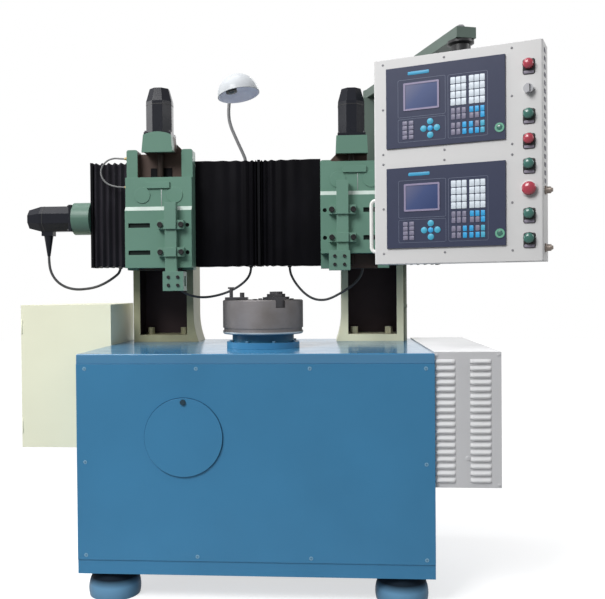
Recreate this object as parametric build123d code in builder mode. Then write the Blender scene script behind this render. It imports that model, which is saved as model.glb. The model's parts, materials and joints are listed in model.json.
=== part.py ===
from build123d import *
import os
from math import atan, cos, degrees, radians, sin, tan

# Flange facing lathe: an upright spindle and chuck on a box base, a portal of two columns and a
# cross beam, and two tool heads that slide along the beam and up and down.
# The frame has its origin on the floor at the middle of the four feet, +X to the operator's right,
# +Y to the back and +Z up. All sizes are in millimetres.

# Clearances
running_clearance = 0.3
seat_clearance = 0.1

# Base box
base_width = 1260
base_depth = 840
base_height = 782
base_floor_thickness = 50
base_top_thickness = 35
base_side_thickness = 12
cover_thickness = 4
cover_proud = 3
cover_seam = 0.5
front_frame_width = 34
front_frame_depth = 22
base_edge_radius = 4

# Levelling feet
foot_height = 96
foot_diameter = 188
foot_bulge_height = 24
foot_base_diameter = 182
foot_top_diameter = 128
foot_stud_diameter = 30
foot_stud_length = 36
foot_inset_x = 110
foot_inset_y = 90
anchor_hole_diameter = 14
anchor_hole_depth = 20

# Front cover, its screws and the swinging inspection cover
cover_screw_side_inset = 30
cover_screw_inset = 17
cover_screw_shank = 8
cover_screw_head = 14
cover_screw_length = 18
inspection_x = -246
inspection_height = 584
inspection_cover_diameter = 277
inspection_cover_thickness = 6
inspection_hole_diameter = 210
inspection_pivot_inset = 14
pivot_screw_diameter = 10
pivot_screw_head = 20
pivot_screw_head_height = 5
pivot_nut_diameter = 20
pivot_nut_height = 8

# Spindle
spindle_x = 10
spindle_y = -80
housing_flange_diameter = 284
housing_flange_thickness = 23
housing_neck_diameter = 240
housing_neck_height = 29
housing_barrel_diameter = 220
housing_barrel_length = 360
bearing_diameter = 150
bearing_width = 35
bearing_inset = 12
spindle_diameter = 110
spindle_bore_diameter = 80
spindle_tail = 12

# Chuck and jaws
chuck_diameter = 313
chuck_height = 131
chuck_bore_diameter = 70
chuck_gap = 2
chuck_edge_chamfer = 4
chuck_groove_height = 12
chuck_groove_depth = 4
jaw_slot_width = 40
jaw_slot_depth = 30
jaw_inner_radius = 60
jaw_outer_radius = 146
jaw_pad_width = 58
jaw_pad_height = 10
jaw_pin_diameter = 14
jaw_pin_height = 36
jaw_pin_head = 24
jaw_bolt_diameter = 18
jaw_bolt_height = 18
jaw_clamp_length = 62
jaw_clamp_width = 34
jaw_clamp_height = 12
jaw_first_angle = 180

# Belt drive
shelf_height = 490
shelf_thickness = 16
shelf_front_y = 60
motor_side_inset = 300
motor_y = 200
motor_flange_diameter = 300
motor_flange_thickness = 20
motor_body_diameter = 250
motor_body_length = 300
motor_shaft_diameter = 48
motor_shaft_hole_depth = 60
spindle_pulley_diameter = 280
motor_pulley_diameter = 160
pulley_width = 70
pulley_drop = 64
belt_thickness = 8

# Columns
column_width = 264
column_depth = 180
column_height = 742
column_inset = 46
column_wall = 16
conduit_diameter = 16
conduit_inset = 22
conduit_height = 560
conduit_clip_width = 26
conduit_clip_height = 14
conduit_clip_spacing = 260
column_window_width = 206
column_foot_thickness = 30
column_foot_flare = 22
column_foot_flare_height = 120
column_flare_radius = 345
column_nut_diameter = 32
column_nut_height = 30
column_nut_spacing = 150

# Cross beam with its guide rails, feed screws and bellows frames
beam_overhang = 75
beam_depth = 130
beam_height = 410
beam_wall = 18
core_hole_diameter = 70
beam_frame_thickness = 10
beam_frame_x = -15
rail_width = 28
rail_height = 26
rail_spacing = 220
rail_end_inset = 15
feed_screw_diameter = 28
feed_screw_height = 1404
saddle_standoff = 42
bellows_wall = 6
bellows_gap = 6
bellows_reach = 54
bellows_wrap = 25

# Servo motors
servo_width = 110
servo_flange_thickness = 12
servo_body_width = 104
servo_corner = 32
servo_length = 193
servo_cap_length = 53
servo_cap_width = 76
servo_plug_width = 48
servo_plug_depth = 40
servo_plug_height = 18
servo_plug_start = 91
strain_relief_diameter = 38
strain_relief_tip = 13
strain_relief_length = 84
motor_adapter_length = 75
motor_adapter_diameter = 134

# Tool heads
left_head_x = -412
right_head_x = 372
saddle_width = 270
saddle_bottom_z = 1185
saddle_height = 475
saddle_plate = 28
saddle_rib_width = 45
saddle_rib_depth = 40
saddle_lug_height = 12
saddle_lug_radius = 9
rail_block_length = 80
rail_block_height = 60
rail_block_spacing = 160
feed_nut_length = 80
feed_nut_height = 70
right_saddle_drop = 56
right_bracket_lift = 36
left_bracket_width = 124
right_bracket_width = 126
left_seat_width = 111
right_seat_width = 120
right_motor_offset = 11
bracket_height = 64
bracket_lip_drop = 6
bracket_lip_thickness = 10
left_lip_rise = 12
gusset_width = 40
gusset_height = 40
gusset_thickness = 20
motor_axis_y = 18
z_screw_diameter = 25
z_screw_tail = 15
slide_height = 364
slide_plate = 24
slide_step = 12
slide_step_height = 246
slide_ledge_height = 16
slide_tongue_depth = 34
left_slide_drop = 103
right_slide_drop = 53
slot_length = 88
slot_height = 18
slot_depth = 9
slot_inset = 14
slot_level_upper = 170
slot_level_lower = 61
slide_hole_diameter = 16
slide_hole_inset = 17
slide_boss_width = 92
slide_boss_height = 25
slide_boss_rise = 8
slide_boss_drop = 20
slide_pad_diameter = 64
slide_pad_rise = 3
slide_pad_spacing = 132
slide_pad_drop = 72
left_bar_offset = 55
right_bar_offset = 49
tool_bar_width = 46
tool_bar_thickness = 36
tool_bar_length = 275
tool_bar_relief = 10
left_bar_drop = 106
right_bar_drop = 81
bar_lug_width = 104
bar_lug_height = 36
bar_lug_thickness = 26
bar_bolt_spacing = 84
bar_bolt_diameter = 18
bar_bolt_head = 8
tool_block_width = 82
tool_block_depth = 72
tool_block_height = 76
left_block_offset = 19
right_block_offset = 13
tool_slot_height = 40
tool_slot_depth = 30
tool_screw_diameter = 12
tool_screw_spacing_x = 37
tool_screw_spacing_z = 32

# Electrical cabinet on the left and louvred drive box on the right
cabinet_width = 380
cabinet_depth = 380
cabinet_height = 591
cabinet_bottom_z = 455
cabinet_wall = 3
cabinet_door_thickness = 20
gear_plate_thickness = 4
gear_plate_margin = 30
gear_block_depth = 90
drive_box_width = 228
drive_box_height = 470
drive_box_setback = 15
drive_box_wall = 3
drive_box_lip = 4
louvre_rows = 18
louvre_pitch = 24.2
louvre_height = 10
louvre_length = 62
louvre_spacing = 122
louvre_shift = -17
louvre_top_margin = 35
lock_diameter = 14
lock_height = 102

# Swing arm and control box
post_offset = 10
post_width = 80
post_height = 308.7
post_flange_width = 140
post_flange_thickness = 12
post_pin_diameter = 40
post_pin_length = 28
arm_length = 838
arm_angle = 17.6
arm_width = 70
arm_height = 36
arm_end = 41
box_turn = 22
box_width = 550
box_height = 688
box_depth = 110
box_wall = 3
box_corner_radius = 6
box_front_reach = 93
box_neck_diameter = 60
box_neck_height = 55.7
box_pin_diameter = 30
box_pin_length = 28
cnc_left_margin = 45.5
cnc_right_margin = 113.5
cnc_top_margin = 33
cnc_gap = 67
cnc_bottom_margin = 52
cnc_bezel = 6
cnc_body_inset = 20
cnc_body_depth = 60
button_side_margin = 42
button_top_margin = 74
button_bottom_margin = 71.5
button_hole_diameter = 22
button_stem_length = 24
button_cap_diameter = 32
button_cap_height = 11
button_lift = 6
mushroom_diameter = 44
mushroom_height = 16
knob_diameter = 30
knob_height = 16
knob_grip_width = 9
knob_grip_height = 9
knob_grip_length = 27
handle_length = 190
handle_reach = 30
handle_diameter = 13
handle_bottom_margin = 39

# Lamp
lamp_base_x = -80
lamp_base_inset = 60
lamp_tube_diameter = 14
lamp_collar_diameter = 44
lamp_collar_height = 12
lamp_reach_x = -32
lamp_reach_y = -82
lamp_rise = 376
lamp_lean = 9.6
lamp_tilt = 6
lamp_knuckle_offset = 24
lamp_knuckle_diameter = 20
lamp_pin_diameter = 8
lamp_lug_width = 26
lamp_lug_diameter = 22
lamp_lug_stand = 16
lamp_lug_angle = 50
shade_drop = 9
shade_radius = 86
shade_wall = 2.5
socket_offset = -27
socket_height = 62
socket_diameter = 46
socket_length = 46
socket_boss_diameter = 26
bulb_diameter = 36
bulb_inset = 10

# Cables
motor_cable_diameter = 11
hanging_cable_diameter = 10
oil_line_diameter = 7
oil_line_drop = 20
cable_inset = 42
motor_cable_entry = 616
left_loop_x = -58
right_loop_x = 104
bend_share = 0.45

# Levels and faces that follow from the sizes above
base_top_z = foot_height + base_height
panel_bottom_z = foot_height + base_floor_thickness
panel_top_z = base_top_z - base_top_thickness
panel_height = panel_top_z - panel_bottom_z
panel_middle_z = (panel_bottom_z + panel_top_z) / 2
base_front_y = -base_depth / 2
base_back_y = base_depth / 2
slab_front_y = base_front_y + cover_proud
frame_face_y = base_front_y + cover_thickness
base_side_x = base_width / 2
column_spacing = base_width - column_width - 2 * column_inset
beam_length = base_width + 2 * beam_overhang
motor_x = motor_side_inset - base_side_x
post_x = column_spacing / 2 + post_offset
column_front_y = base_back_y - column_depth
column_top_z = base_top_z + column_height
beam_front_y = column_front_y - beam_depth
beam_bottom_z = column_top_z - beam_height
beam_middle_z = column_top_z - beam_height / 2
beam_end_x = beam_length / 2
saddle_back_y = beam_front_y - saddle_standoff
saddle_front_y = saddle_back_y - saddle_plate
rib_front_y = saddle_front_y - saddle_rib_depth
saddle_top_z = saddle_bottom_z + saddle_height
feed_screw_y = (beam_front_y + saddle_back_y) / 2
slide_back_y = rib_front_y - running_clearance
slide_front_y = slide_back_y - slide_plate
step_front_y = slide_front_y - slide_step
shelf_top_z = shelf_height + shelf_thickness
pulley_top_z = shelf_height - pulley_drop
chuck_bottom = housing_flange_thickness + housing_neck_height + chuck_gap
chuck_top_z = base_top_z + chuck_bottom + chuck_height
arm_bottom_z = column_top_z + post_height + running_clearance
box_top_z = arm_bottom_z - running_clearance - box_neck_height
box_middle_z = box_top_z - box_height / 2
inspection_pivot_z = inspection_height + inspection_cover_diameter / 2 - inspection_pivot_inset

spindle_plane = Plane(origin=(spindle_x, spindle_y, base_top_z))
front_plane = Plane(origin=(0, base_front_y, 0), x_dir=(1, 0, 0), z_dir=(0, -1, 0))
underside = Plane(origin=(0, 0, 0), x_dir=(1, 0, 0), z_dir=(0, 0, -1))
low = (Align.CENTER, Align.CENTER, Align.MIN)
high = (Align.CENTER, Align.CENTER, Align.MAX)


def block(x, y, z, mode=Mode.ADD):
    """Adds or cuts a box given by its low and high limits along each axis."""
    with Locations(((x[0] + x[1]) / 2, (y[0] + y[1]) / 2, (z[0] + z[1]) / 2)):
        Box(x[1] - x[0], y[1] - y[0], z[1] - z[0], mode=mode)


def save(part, name):
    """Labels a finished piece and writes it as one STEP file."""
    part.label = name
    export_step(part, f"parts/{name}.step")


def group(*parts):
    """Separate solids that share one node."""
    return Compound(children=[solid for part in parts for solid in part.solids()])


os.makedirs("parts", exist_ok=True)

# Base box: top plate, floor, side and back plates with the motor shelf
foot_spacing_x = base_width - 2 * foot_inset_x
foot_spacing_y = base_depth - 2 * foot_inset_y
screw_row_top = panel_top_z - cover_screw_inset
screw_row_bottom = panel_bottom_z + cover_screw_inset
cover_screw_pitch = (base_width - 2 * cover_screw_side_inset) / 3
screw_columns = [cover_screw_pitch * step for step in (-1.5, -0.5, 0.5, 1.5)]
screw_places = [(x, z) for x in screw_columns for z in (screw_row_top, screw_row_bottom)]
screw_places += [(x, panel_middle_z) for x in (screw_columns[0], screw_columns[-1])]

with BuildPart() as base_top_plate:
    block((-base_side_x, base_side_x), (slab_front_y, base_back_y), (panel_top_z, base_top_z))
    fillet(base_top_plate.edges().group_by(Axis.Z)[-1], base_edge_radius)
    with Locations((spindle_x, spindle_y, base_top_z)):
        Hole(housing_barrel_diameter / 2 + running_clearance)
save(base_top_plate.part, "base_top_plate")

with BuildPart() as base_floor:
    block((-base_side_x, base_side_x), (slab_front_y, base_back_y), (foot_height, panel_bottom_z))
    with Locations(underside.offset(-foot_height)):
        with GridLocations(foot_spacing_x, foot_spacing_y, 2, 2):
            Hole(foot_stud_diameter / 2 + running_clearance, foot_stud_length + running_clearance)
save(base_floor.part, "base_floor")

with BuildPart() as left_side_plate:
    block(
        (-base_side_x, -base_side_x + base_side_thickness),
        (frame_face_y, base_back_y - cover_thickness),
        (panel_bottom_z, panel_top_z),
    )
with BuildPart() as right_side_plate:
    add(left_side_plate.part)
    mirror(about=Plane.YZ, mode=Mode.REPLACE)
with BuildPart() as back_plate:
    block(
        (-base_side_x, base_side_x),
        (base_back_y - cover_thickness, base_back_y),
        (panel_bottom_z, panel_top_z),
    )
with BuildPart() as motor_shelf:
    block(
        (-base_side_x + base_side_thickness, base_side_x - base_side_thickness),
        (shelf_front_y, base_back_y - cover_thickness),
        (shelf_height, shelf_top_z),
    )
    with Locations((motor_x, motor_y, shelf_top_z)):
        Hole(motor_shaft_diameter)
inner_width = base_width - 2 * base_side_thickness
with BuildPart() as front_frame:
    with BuildSketch(front_plane.offset(-cover_thickness)):
        with Locations((0, panel_middle_z)):
            Rectangle(inner_width, panel_height)
            Rectangle(
                inner_width - 2 * front_frame_width,
                panel_height - 2 * front_frame_width,
                mode=Mode.SUBTRACT,
            )
    extrude(amount=-front_frame_depth)
    with Locations(front_plane.offset(-cover_thickness)):
        with Locations(*screw_places):
            Hole(cover_screw_shank / 2 + seat_clearance, cover_screw_length)
save(
    group(
        left_side_plate.part,
        right_side_plate.part,
        back_plate.part,
        motor_shelf.part,
        front_frame.part,
    ),
    "base_plates",
)

# Levelling feet: a bulging pad and a stud that screws into the floor of the base
with BuildPart() as foot:
    with BuildSketch(Plane.XZ):
        with BuildLine():
            stud_side = Polyline(
                (foot_top_diameter / 2, foot_height),
                (foot_stud_diameter / 2, foot_height),
                (foot_stud_diameter / 2, foot_height + foot_stud_length),
                (0, foot_height + foot_stud_length),
                (0, 0),
                (foot_base_diameter / 2, 0),
            )
            ThreePointArc(stud_side @ 1, (foot_diameter / 2, foot_bulge_height), stud_side @ 0)
        make_face()
    revolve(axis=Axis.Z)
    with Locations(underside):
        Hole(anchor_hole_diameter / 2, anchor_hole_depth)
with BuildPart() as levelling_feet:
    with GridLocations(foot_spacing_x, foot_spacing_y, 2, 2):
        add(foot.part)
save(levelling_feet.part, "levelling_feet")

# Front cover with countersunk screws
pivot_place = (inspection_x, inspection_pivot_z)

with BuildPart() as front_cover:
    with BuildSketch(front_plane):
        with Locations((0, panel_middle_z)):
            Rectangle(base_width, panel_height - 2 * cover_seam)
        with Locations((inspection_x, inspection_height)):
            Circle(inspection_hole_diameter / 2, mode=Mode.SUBTRACT)
    extrude(amount=-cover_thickness)
    with Locations(front_plane):
        with Locations(*screw_places):
            CounterSinkHole(
                cover_screw_shank / 2 + seat_clearance,
                cover_screw_head / 2 + seat_clearance,
                counter_sink_angle=90,
            )
        with Locations(pivot_place):
            Hole(pivot_screw_diameter / 2 + seat_clearance)
save(front_cover.part, "front_cover")

head_cone_depth = (cover_screw_head - cover_screw_shank) / 2
with BuildPart() as cover_screw:
    with BuildSketch(Plane.XZ):
        with BuildLine():
            Polyline(
                (0, 0),
                (cover_screw_head / 2, 0),
                (cover_screw_shank / 2, -head_cone_depth),
                (cover_screw_shank / 2, -cover_screw_length),
                (0, -cover_screw_length),
                close=True,
            )
        make_face()
    revolve(axis=Axis.Z)
pivot_head_start = inspection_cover_thickness + 2 * running_clearance
with BuildPart() as cover_screws:
    with Locations(front_plane):
        with Locations(*screw_places):
            add(cover_screw.part)
    with BuildSketch(front_plane.offset(pivot_head_start)):
        with Locations(pivot_place):
            Circle(pivot_screw_head / 2)
    extrude(amount=pivot_screw_head_height)
    with BuildSketch(front_plane.offset(pivot_head_start)):
        with Locations(pivot_place):
            Circle(pivot_screw_diameter / 2)
    extrude(amount=-pivot_head_start - cover_screw_length)
    with BuildSketch(front_plane.offset(-cover_thickness)):
        with Locations(pivot_place):
            RegularPolygon(pivot_nut_diameter / 2, 6)
    extrude(amount=-pivot_nut_height)
save(cover_screws.part, "front_cover_screws")

with BuildPart() as inspection_cover:
    with BuildSketch(front_plane.offset(running_clearance)):
        with Locations((inspection_x, inspection_height)):
            Circle(inspection_cover_diameter / 2)
        with Locations(pivot_place):
            Circle(pivot_screw_diameter / 2 + running_clearance, mode=Mode.SUBTRACT)
    extrude(amount=inspection_cover_thickness)
save(inspection_cover.part, "inspection_cover")

# Spindle: flanged housing with two bearings, shaft and pulley
bearing_bore = spindle_diameter / 2 + running_clearance
housing_top = housing_flange_thickness + housing_neck_height
with BuildPart(spindle_plane) as housing:
    Cylinder(housing_flange_diameter / 2, housing_flange_thickness, align=low)
    with Locations((0, 0, housing_flange_thickness)):
        Cylinder(housing_neck_diameter / 2, housing_neck_height, align=low)
    Cylinder(housing_barrel_diameter / 2, housing_barrel_length, align=high)
    with Locations((0, 0, housing_top)):
        Hole(bearing_diameter / 2)
with BuildPart(spindle_plane) as bearings:
    with Locations(
        (0, 0, housing_top - bearing_inset - bearing_width),
        (0, 0, bearing_inset - housing_barrel_length),
    ):
        Cylinder(bearing_diameter / 2 - seat_clearance, bearing_width, align=low)
        Cylinder(bearing_bore, bearing_width, align=low, mode=Mode.SUBTRACT)
save(group(housing.part, bearings.part), "spindle_housing")

pulley_top = pulley_top_z - base_top_z
shaft_length = chuck_bottom - pulley_top + pulley_width + spindle_tail
with BuildPart(spindle_plane) as spindle_shaft:
    with Locations((0, 0, chuck_bottom)):
        Cylinder(spindle_diameter / 2, shaft_length, align=high)
        Hole(spindle_bore_diameter / 2)
save(spindle_shaft.part, "spindle_shaft")

with BuildPart(spindle_plane) as spindle_pulley:
    with Locations((0, 0, pulley_top)):
        Cylinder(spindle_pulley_diameter / 2, pulley_width, align=high)
        Cylinder(spindle_diameter / 2 + seat_clearance, pulley_width, align=high, mode=Mode.SUBTRACT)
save(spindle_pulley.part, "spindle_pulley")

# Main motor on its shelf, the motor pulley with its shaft, and the belt
motor_plane = Plane(origin=(motor_x, motor_y, shelf_top_z))
motor_bore = motor_shaft_diameter / 2 + running_clearance
with BuildPart(motor_plane) as main_motor:
    Cylinder(motor_flange_diameter / 2, motor_flange_thickness, align=low)
    with Locations((0, 0, motor_flange_thickness)):
        Cylinder(motor_body_diameter / 2, motor_body_length, align=low)
    Cylinder(motor_bore, motor_shaft_hole_depth + running_clearance, align=low, mode=Mode.SUBTRACT)
save(main_motor.part, "main_motor")

with BuildPart(motor_plane) as motor_pulley:
    with Locations((0, 0, pulley_top_z - shelf_top_z)):
        Cylinder(motor_pulley_diameter / 2, pulley_width, align=high)
        Cylinder(
            motor_shaft_diameter / 2, shelf_top_z - pulley_top_z + motor_shaft_hole_depth, align=low
        )
save(motor_pulley.part, "motor_pulley")


def belt_sheet(extra):
    """Plan of the belt: the hull of both pulleys, each larger by a given amount."""
    with BuildSketch(Plane.XY.offset(pulley_top_z - pulley_width)) as plan:
        with Locations((spindle_x, spindle_y)):
            Circle(spindle_pulley_diameter / 2 + extra)
        with Locations((motor_x, motor_y)):
            Circle(motor_pulley_diameter / 2 + extra)
        make_hull()
    return plan.sketch


with BuildPart() as drive_belt:
    extrude(belt_sheet(running_clearance + belt_thickness), amount=pulley_width)
    extrude(belt_sheet(running_clearance), amount=pulley_width, mode=Mode.SUBTRACT)
save(drive_belt.part, "drive_belt")

# Chuck with three radial slots, and the jaws that slide in them
chuck_plane = Plane(origin=(spindle_x, spindle_y, chuck_top_z))
with BuildPart(chuck_plane) as chuck_body:
    Cylinder(chuck_diameter / 2, chuck_height, align=high)
    chamfer(chuck_body.edges().filter_by(GeomType.CIRCLE), chuck_edge_chamfer)
    with Locations((0, 0, 2 * chuck_groove_height - chuck_height)):
        Cylinder(chuck_diameter / 2, chuck_groove_height, align=high, mode=Mode.SUBTRACT)
        Cylinder(chuck_diameter / 2 - chuck_groove_depth, chuck_groove_height, align=high)
    Hole(chuck_bore_diameter / 2)
    with PolarLocations(chuck_diameter / 4, 3, start_angle=jaw_first_angle):
        Box(chuck_diameter / 2, jaw_slot_width, 2 * jaw_slot_depth, mode=Mode.SUBTRACT)
save(chuck_body.part, "chuck_body")

jaw_length = jaw_outer_radius - jaw_inner_radius
jaw_middle = (jaw_outer_radius + jaw_inner_radius) / 2
pad_top = running_clearance + jaw_pad_height
for number in range(3):
    jaw_plane = chuck_plane.rotated((0, 0, jaw_first_angle + 120 * number))
    with BuildPart(jaw_plane) as jaw:
        with Locations((jaw_middle, 0, running_clearance)):
            Box(jaw_length, jaw_slot_width - 2 * running_clearance, jaw_slot_depth, align=high)
            Box(jaw_length, jaw_pad_width, jaw_pad_height, align=low)
        if number == 0:
            with Locations((jaw_middle + jaw_length / 4, 0, pad_top)):
                Cylinder(jaw_pin_diameter / 2, jaw_pin_height, align=low)
            with Locations((jaw_middle + jaw_length / 4, 0, pad_top + jaw_pin_height)):
                Box(jaw_pin_head, jaw_pin_diameter, jaw_pin_diameter / 2)
            with Locations((jaw_middle - jaw_length / 4, 0, pad_top)):
                Cylinder(jaw_bolt_diameter / 2, jaw_bolt_height, align=low)
        else:
            with Locations((jaw_middle, 0, pad_top)):
                Box(jaw_clamp_length, jaw_clamp_width, jaw_clamp_height, align=low)
            with Locations((jaw_middle, 0, pad_top + jaw_clamp_height)):
                with GridLocations(jaw_clamp_length / 3, 0, 3, 1):
                    Cylinder(jaw_bolt_diameter / 2, jaw_bolt_height / 2, align=low)
    save(jaw.part, f"jaw_{number + 1}")

# Columns: hollow castings with an open window in front, hold-down nuts inside and a clipped conduit
window_bottom_z = base_top_z + column_foot_thickness
column_middle_y = column_front_y + column_depth / 2
pieces = []
for side in (-1, 1):
    column_x = side * column_spacing / 2
    half = column_width / 2
    with BuildPart() as column:
        block(
            (column_x - half, column_x + half),
            (column_front_y, base_back_y),
            (base_top_z, column_top_z),
        )
        with BuildSketch(Plane(origin=(0, column_front_y, 0), x_dir=(1, 0, 0), z_dir=(0, -1, 0))):
            with BuildLine():
                inner_x = column_x - side * half
                corner = Polyline(
                    (inner_x, base_top_z + column_foot_flare_height),
                    (inner_x, base_top_z),
                    (inner_x - side * column_foot_flare, base_top_z),
                )
                RadiusArc(corner @ 1, corner @ 0, -side * column_flare_radius)
            make_face()
        extrude(amount=-column_depth)
        block(
            (column_x - half + column_wall, column_x + half - column_wall),
            (column_front_y + column_wall, base_back_y - column_wall),
            (window_bottom_z, column_top_z - column_wall),
            Mode.SUBTRACT,
        )
        block(
            (column_x - column_window_width / 2, column_x + column_window_width / 2),
            (column_front_y, column_front_y + column_wall),
            (window_bottom_z, column_top_z - column_wall),
            Mode.SUBTRACT,
        )
    nut_places = Plane(origin=(column_x, column_middle_y, window_bottom_z))
    with BuildPart() as nuts:
        with BuildSketch(nut_places):
            with GridLocations(column_nut_spacing, 0, 2, 1):
                RegularPolygon(column_nut_diameter / 2, 6)
        extrude(amount=column_nut_height)
    pieces += [column.part, nuts.part]
conduit_x = column_spacing / 2 + column_width / 2 + conduit_diameter / 2
conduit_y = column_front_y + conduit_inset
with BuildPart() as conduit:
    with Locations((conduit_x, conduit_y, base_top_z)):
        Cylinder(conduit_diameter / 2, conduit_height, align=low)
    for level in (-conduit_clip_spacing / 2, conduit_clip_spacing / 2):
        with Locations((conduit_x, conduit_y, base_top_z + conduit_height / 2 + level)):
            Box(conduit_diameter, conduit_clip_width, conduit_clip_height)
save(group(*pieces, conduit.part), "columns")

# Cross beam: a hollow box with bellows frames at both ends and between the heads
frame_front_y = beam_front_y - bellows_reach
frame_back_y = beam_front_y + bellows_wrap
frame_top_z = column_top_z + bellows_gap + bellows_wall
frame_bottom_z = beam_bottom_z - bellows_gap - bellows_wall
rail_levels = (beam_middle_z - rail_spacing / 2, beam_middle_z + rail_spacing / 2)
frame_starts = (
    -beam_end_x - beam_frame_thickness,
    beam_frame_x - beam_frame_thickness / 2,
    beam_end_x,
)
with BuildPart() as cross_beam:
    for start in frame_starts:
        block(
            (start, start + beam_frame_thickness),
            (frame_front_y, frame_back_y),
            (frame_bottom_z, frame_top_z),
        )
    for level in rail_levels:
        block(
            (-beam_end_x, beam_end_x),
            (beam_front_y - rail_height - running_clearance, beam_front_y),
            (
                level - rail_width / 2 - running_clearance,
                level + rail_width / 2 + running_clearance,
            ),
            Mode.SUBTRACT,
        )
    with Locations(Plane(origin=(0, feed_screw_y, feed_screw_height), z_dir=(1, 0, 0))):
        Hole(feed_screw_diameter / 2 + running_clearance)
    block((-beam_end_x, beam_end_x), (beam_front_y, column_front_y), (beam_bottom_z, column_top_z))
    block(
        (beam_wall - beam_end_x, beam_end_x - beam_wall),
        (beam_front_y + beam_wall, column_front_y - beam_wall),
        (beam_bottom_z + beam_wall, column_top_z - beam_wall),
        Mode.SUBTRACT,
    )
    core_centre = (beam_end_x, column_front_y - beam_wall - core_hole_diameter / 2, beam_middle_z)
    with Locations(Plane(origin=core_centre, z_dir=(1, 0, 0))):
        Hole(core_hole_diameter / 2)
save(cross_beam.part, "cross_beam")

screw_end_x = beam_end_x + beam_frame_thickness
rail_end_x = beam_end_x - rail_end_inset
guides = []
for level in rail_levels:
    with BuildPart() as rail:
        block(
            (-rail_end_x, rail_end_x),
            (beam_front_y - rail_height, beam_front_y),
            (level - rail_width / 2, level + rail_width / 2),
        )
    guides.append(rail.part)
feed_plane = Plane(origin=(0, feed_screw_y, feed_screw_height), z_dir=(1, 0, 0))
for start, end in (
    (-screw_end_x, beam_frame_x - running_clearance),
    (beam_frame_x + running_clearance, screw_end_x),
):
    with BuildPart() as feed_screw:
        with BuildSketch(feed_plane.offset(start)):
            Circle(feed_screw_diameter / 2)
        extrude(amount=end - start)
    guides.append(feed_screw.part)
save(group(*guides), "beam_guides")

# Servo motors: the two feed motors with their adapters at the beam ends
cap_taper = degrees(atan((servo_body_width - servo_cap_width) / 2 / servo_cap_length))
servo_body_length = servo_length - servo_flange_thickness - servo_cap_length


def servo(plane, relief):
    """A square servo motor standing on a plane, with its plug on the plane's own -y side."""
    with BuildPart(plane) as motor:
        Box(servo_width, servo_width, servo_flange_thickness, align=low)
        with BuildSketch(plane.offset(servo_flange_thickness)):
            body = Rectangle(servo_body_width, servo_body_width)
            chamfer(body.vertices(), servo_corner)
        extrude(amount=servo_body_length)
        with BuildSketch(plane.offset(servo_flange_thickness + servo_body_length)):
            cap = Rectangle(servo_body_width, servo_body_width)
            chamfer(cap.vertices(), servo_corner)
        extrude(amount=servo_cap_length, taper=cap_taper)
        plug_y = -servo_body_width / 2 - servo_plug_height
        block(
            (-servo_plug_depth / 2, servo_plug_depth / 2),
            (plug_y, 0),
            (servo_plug_start, servo_plug_start + servo_plug_width),
        )
        if relief:
            plug_face = Plane(
                origin=plane.from_local_coords((0, plug_y, servo_plug_start + servo_plug_width / 2)),
                z_dir=-plane.y_dir,
            )
            with BuildSketch(plug_face):
                Circle(strain_relief_diameter / 2)
            with BuildSketch(plug_face.offset(strain_relief_length)):
                Circle(strain_relief_tip / 2)
            loft()
    return motor.part


adapters, motors = [], []
for side in (-1, 1):
    adapter_start = side * (beam_end_x + beam_frame_thickness)
    adapter_plane = Plane(
        origin=(adapter_start, feed_screw_y, feed_screw_height), x_dir=(0, side, 0), z_dir=(side, 0, 0)
    )
    with BuildPart(adapter_plane) as adapter:
        Cylinder(motor_adapter_diameter / 2, motor_adapter_length, align=low)
    adapters.append(adapter.part)
    motors.append(servo(adapter_plane.offset(motor_adapter_length), relief=side < 0))
save(group(*adapters), "x_motor_adapters")
save(group(*motors), "x_motors")


# Tool heads: saddle with motor bracket, servo, screw, slide, tool bar and tool block
def rail_carriages(head_x):
    """Four carriages that grip the two rails, and the nut on the feed screw."""
    solids = []
    for level in rail_levels:
        for step in (-0.5, 0.5):
            middle = head_x + step * rail_block_spacing
            with BuildPart() as carriage:
                block(
                    (middle - rail_block_length / 2, middle + rail_block_length / 2),
                    (saddle_back_y, beam_front_y - rail_height / 3),
                    (level - rail_block_height / 2, level + rail_block_height / 2),
                )
                block(
                    (middle - rail_block_length / 2, middle + rail_block_length / 2),
                    (beam_front_y - rail_height - running_clearance, beam_front_y),
                    (
                        level - rail_width / 2 - running_clearance,
                        level + rail_width / 2 + running_clearance,
                    ),
                    Mode.SUBTRACT,
                )
            solids.append(carriage.part)
    with BuildPart() as nut:
        block(
            (head_x - feed_nut_length / 2, head_x + feed_nut_length / 2),
            (saddle_back_y, beam_front_y - running_clearance),
            (feed_screw_height - feed_nut_height / 2, feed_screw_height + feed_nut_height / 2),
        )
        with Locations(feed_plane.offset(head_x + feed_nut_length / 2)):
            Hole(feed_screw_diameter / 2 + running_clearance)
    solids.append(nut.part)
    return solids


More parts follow.
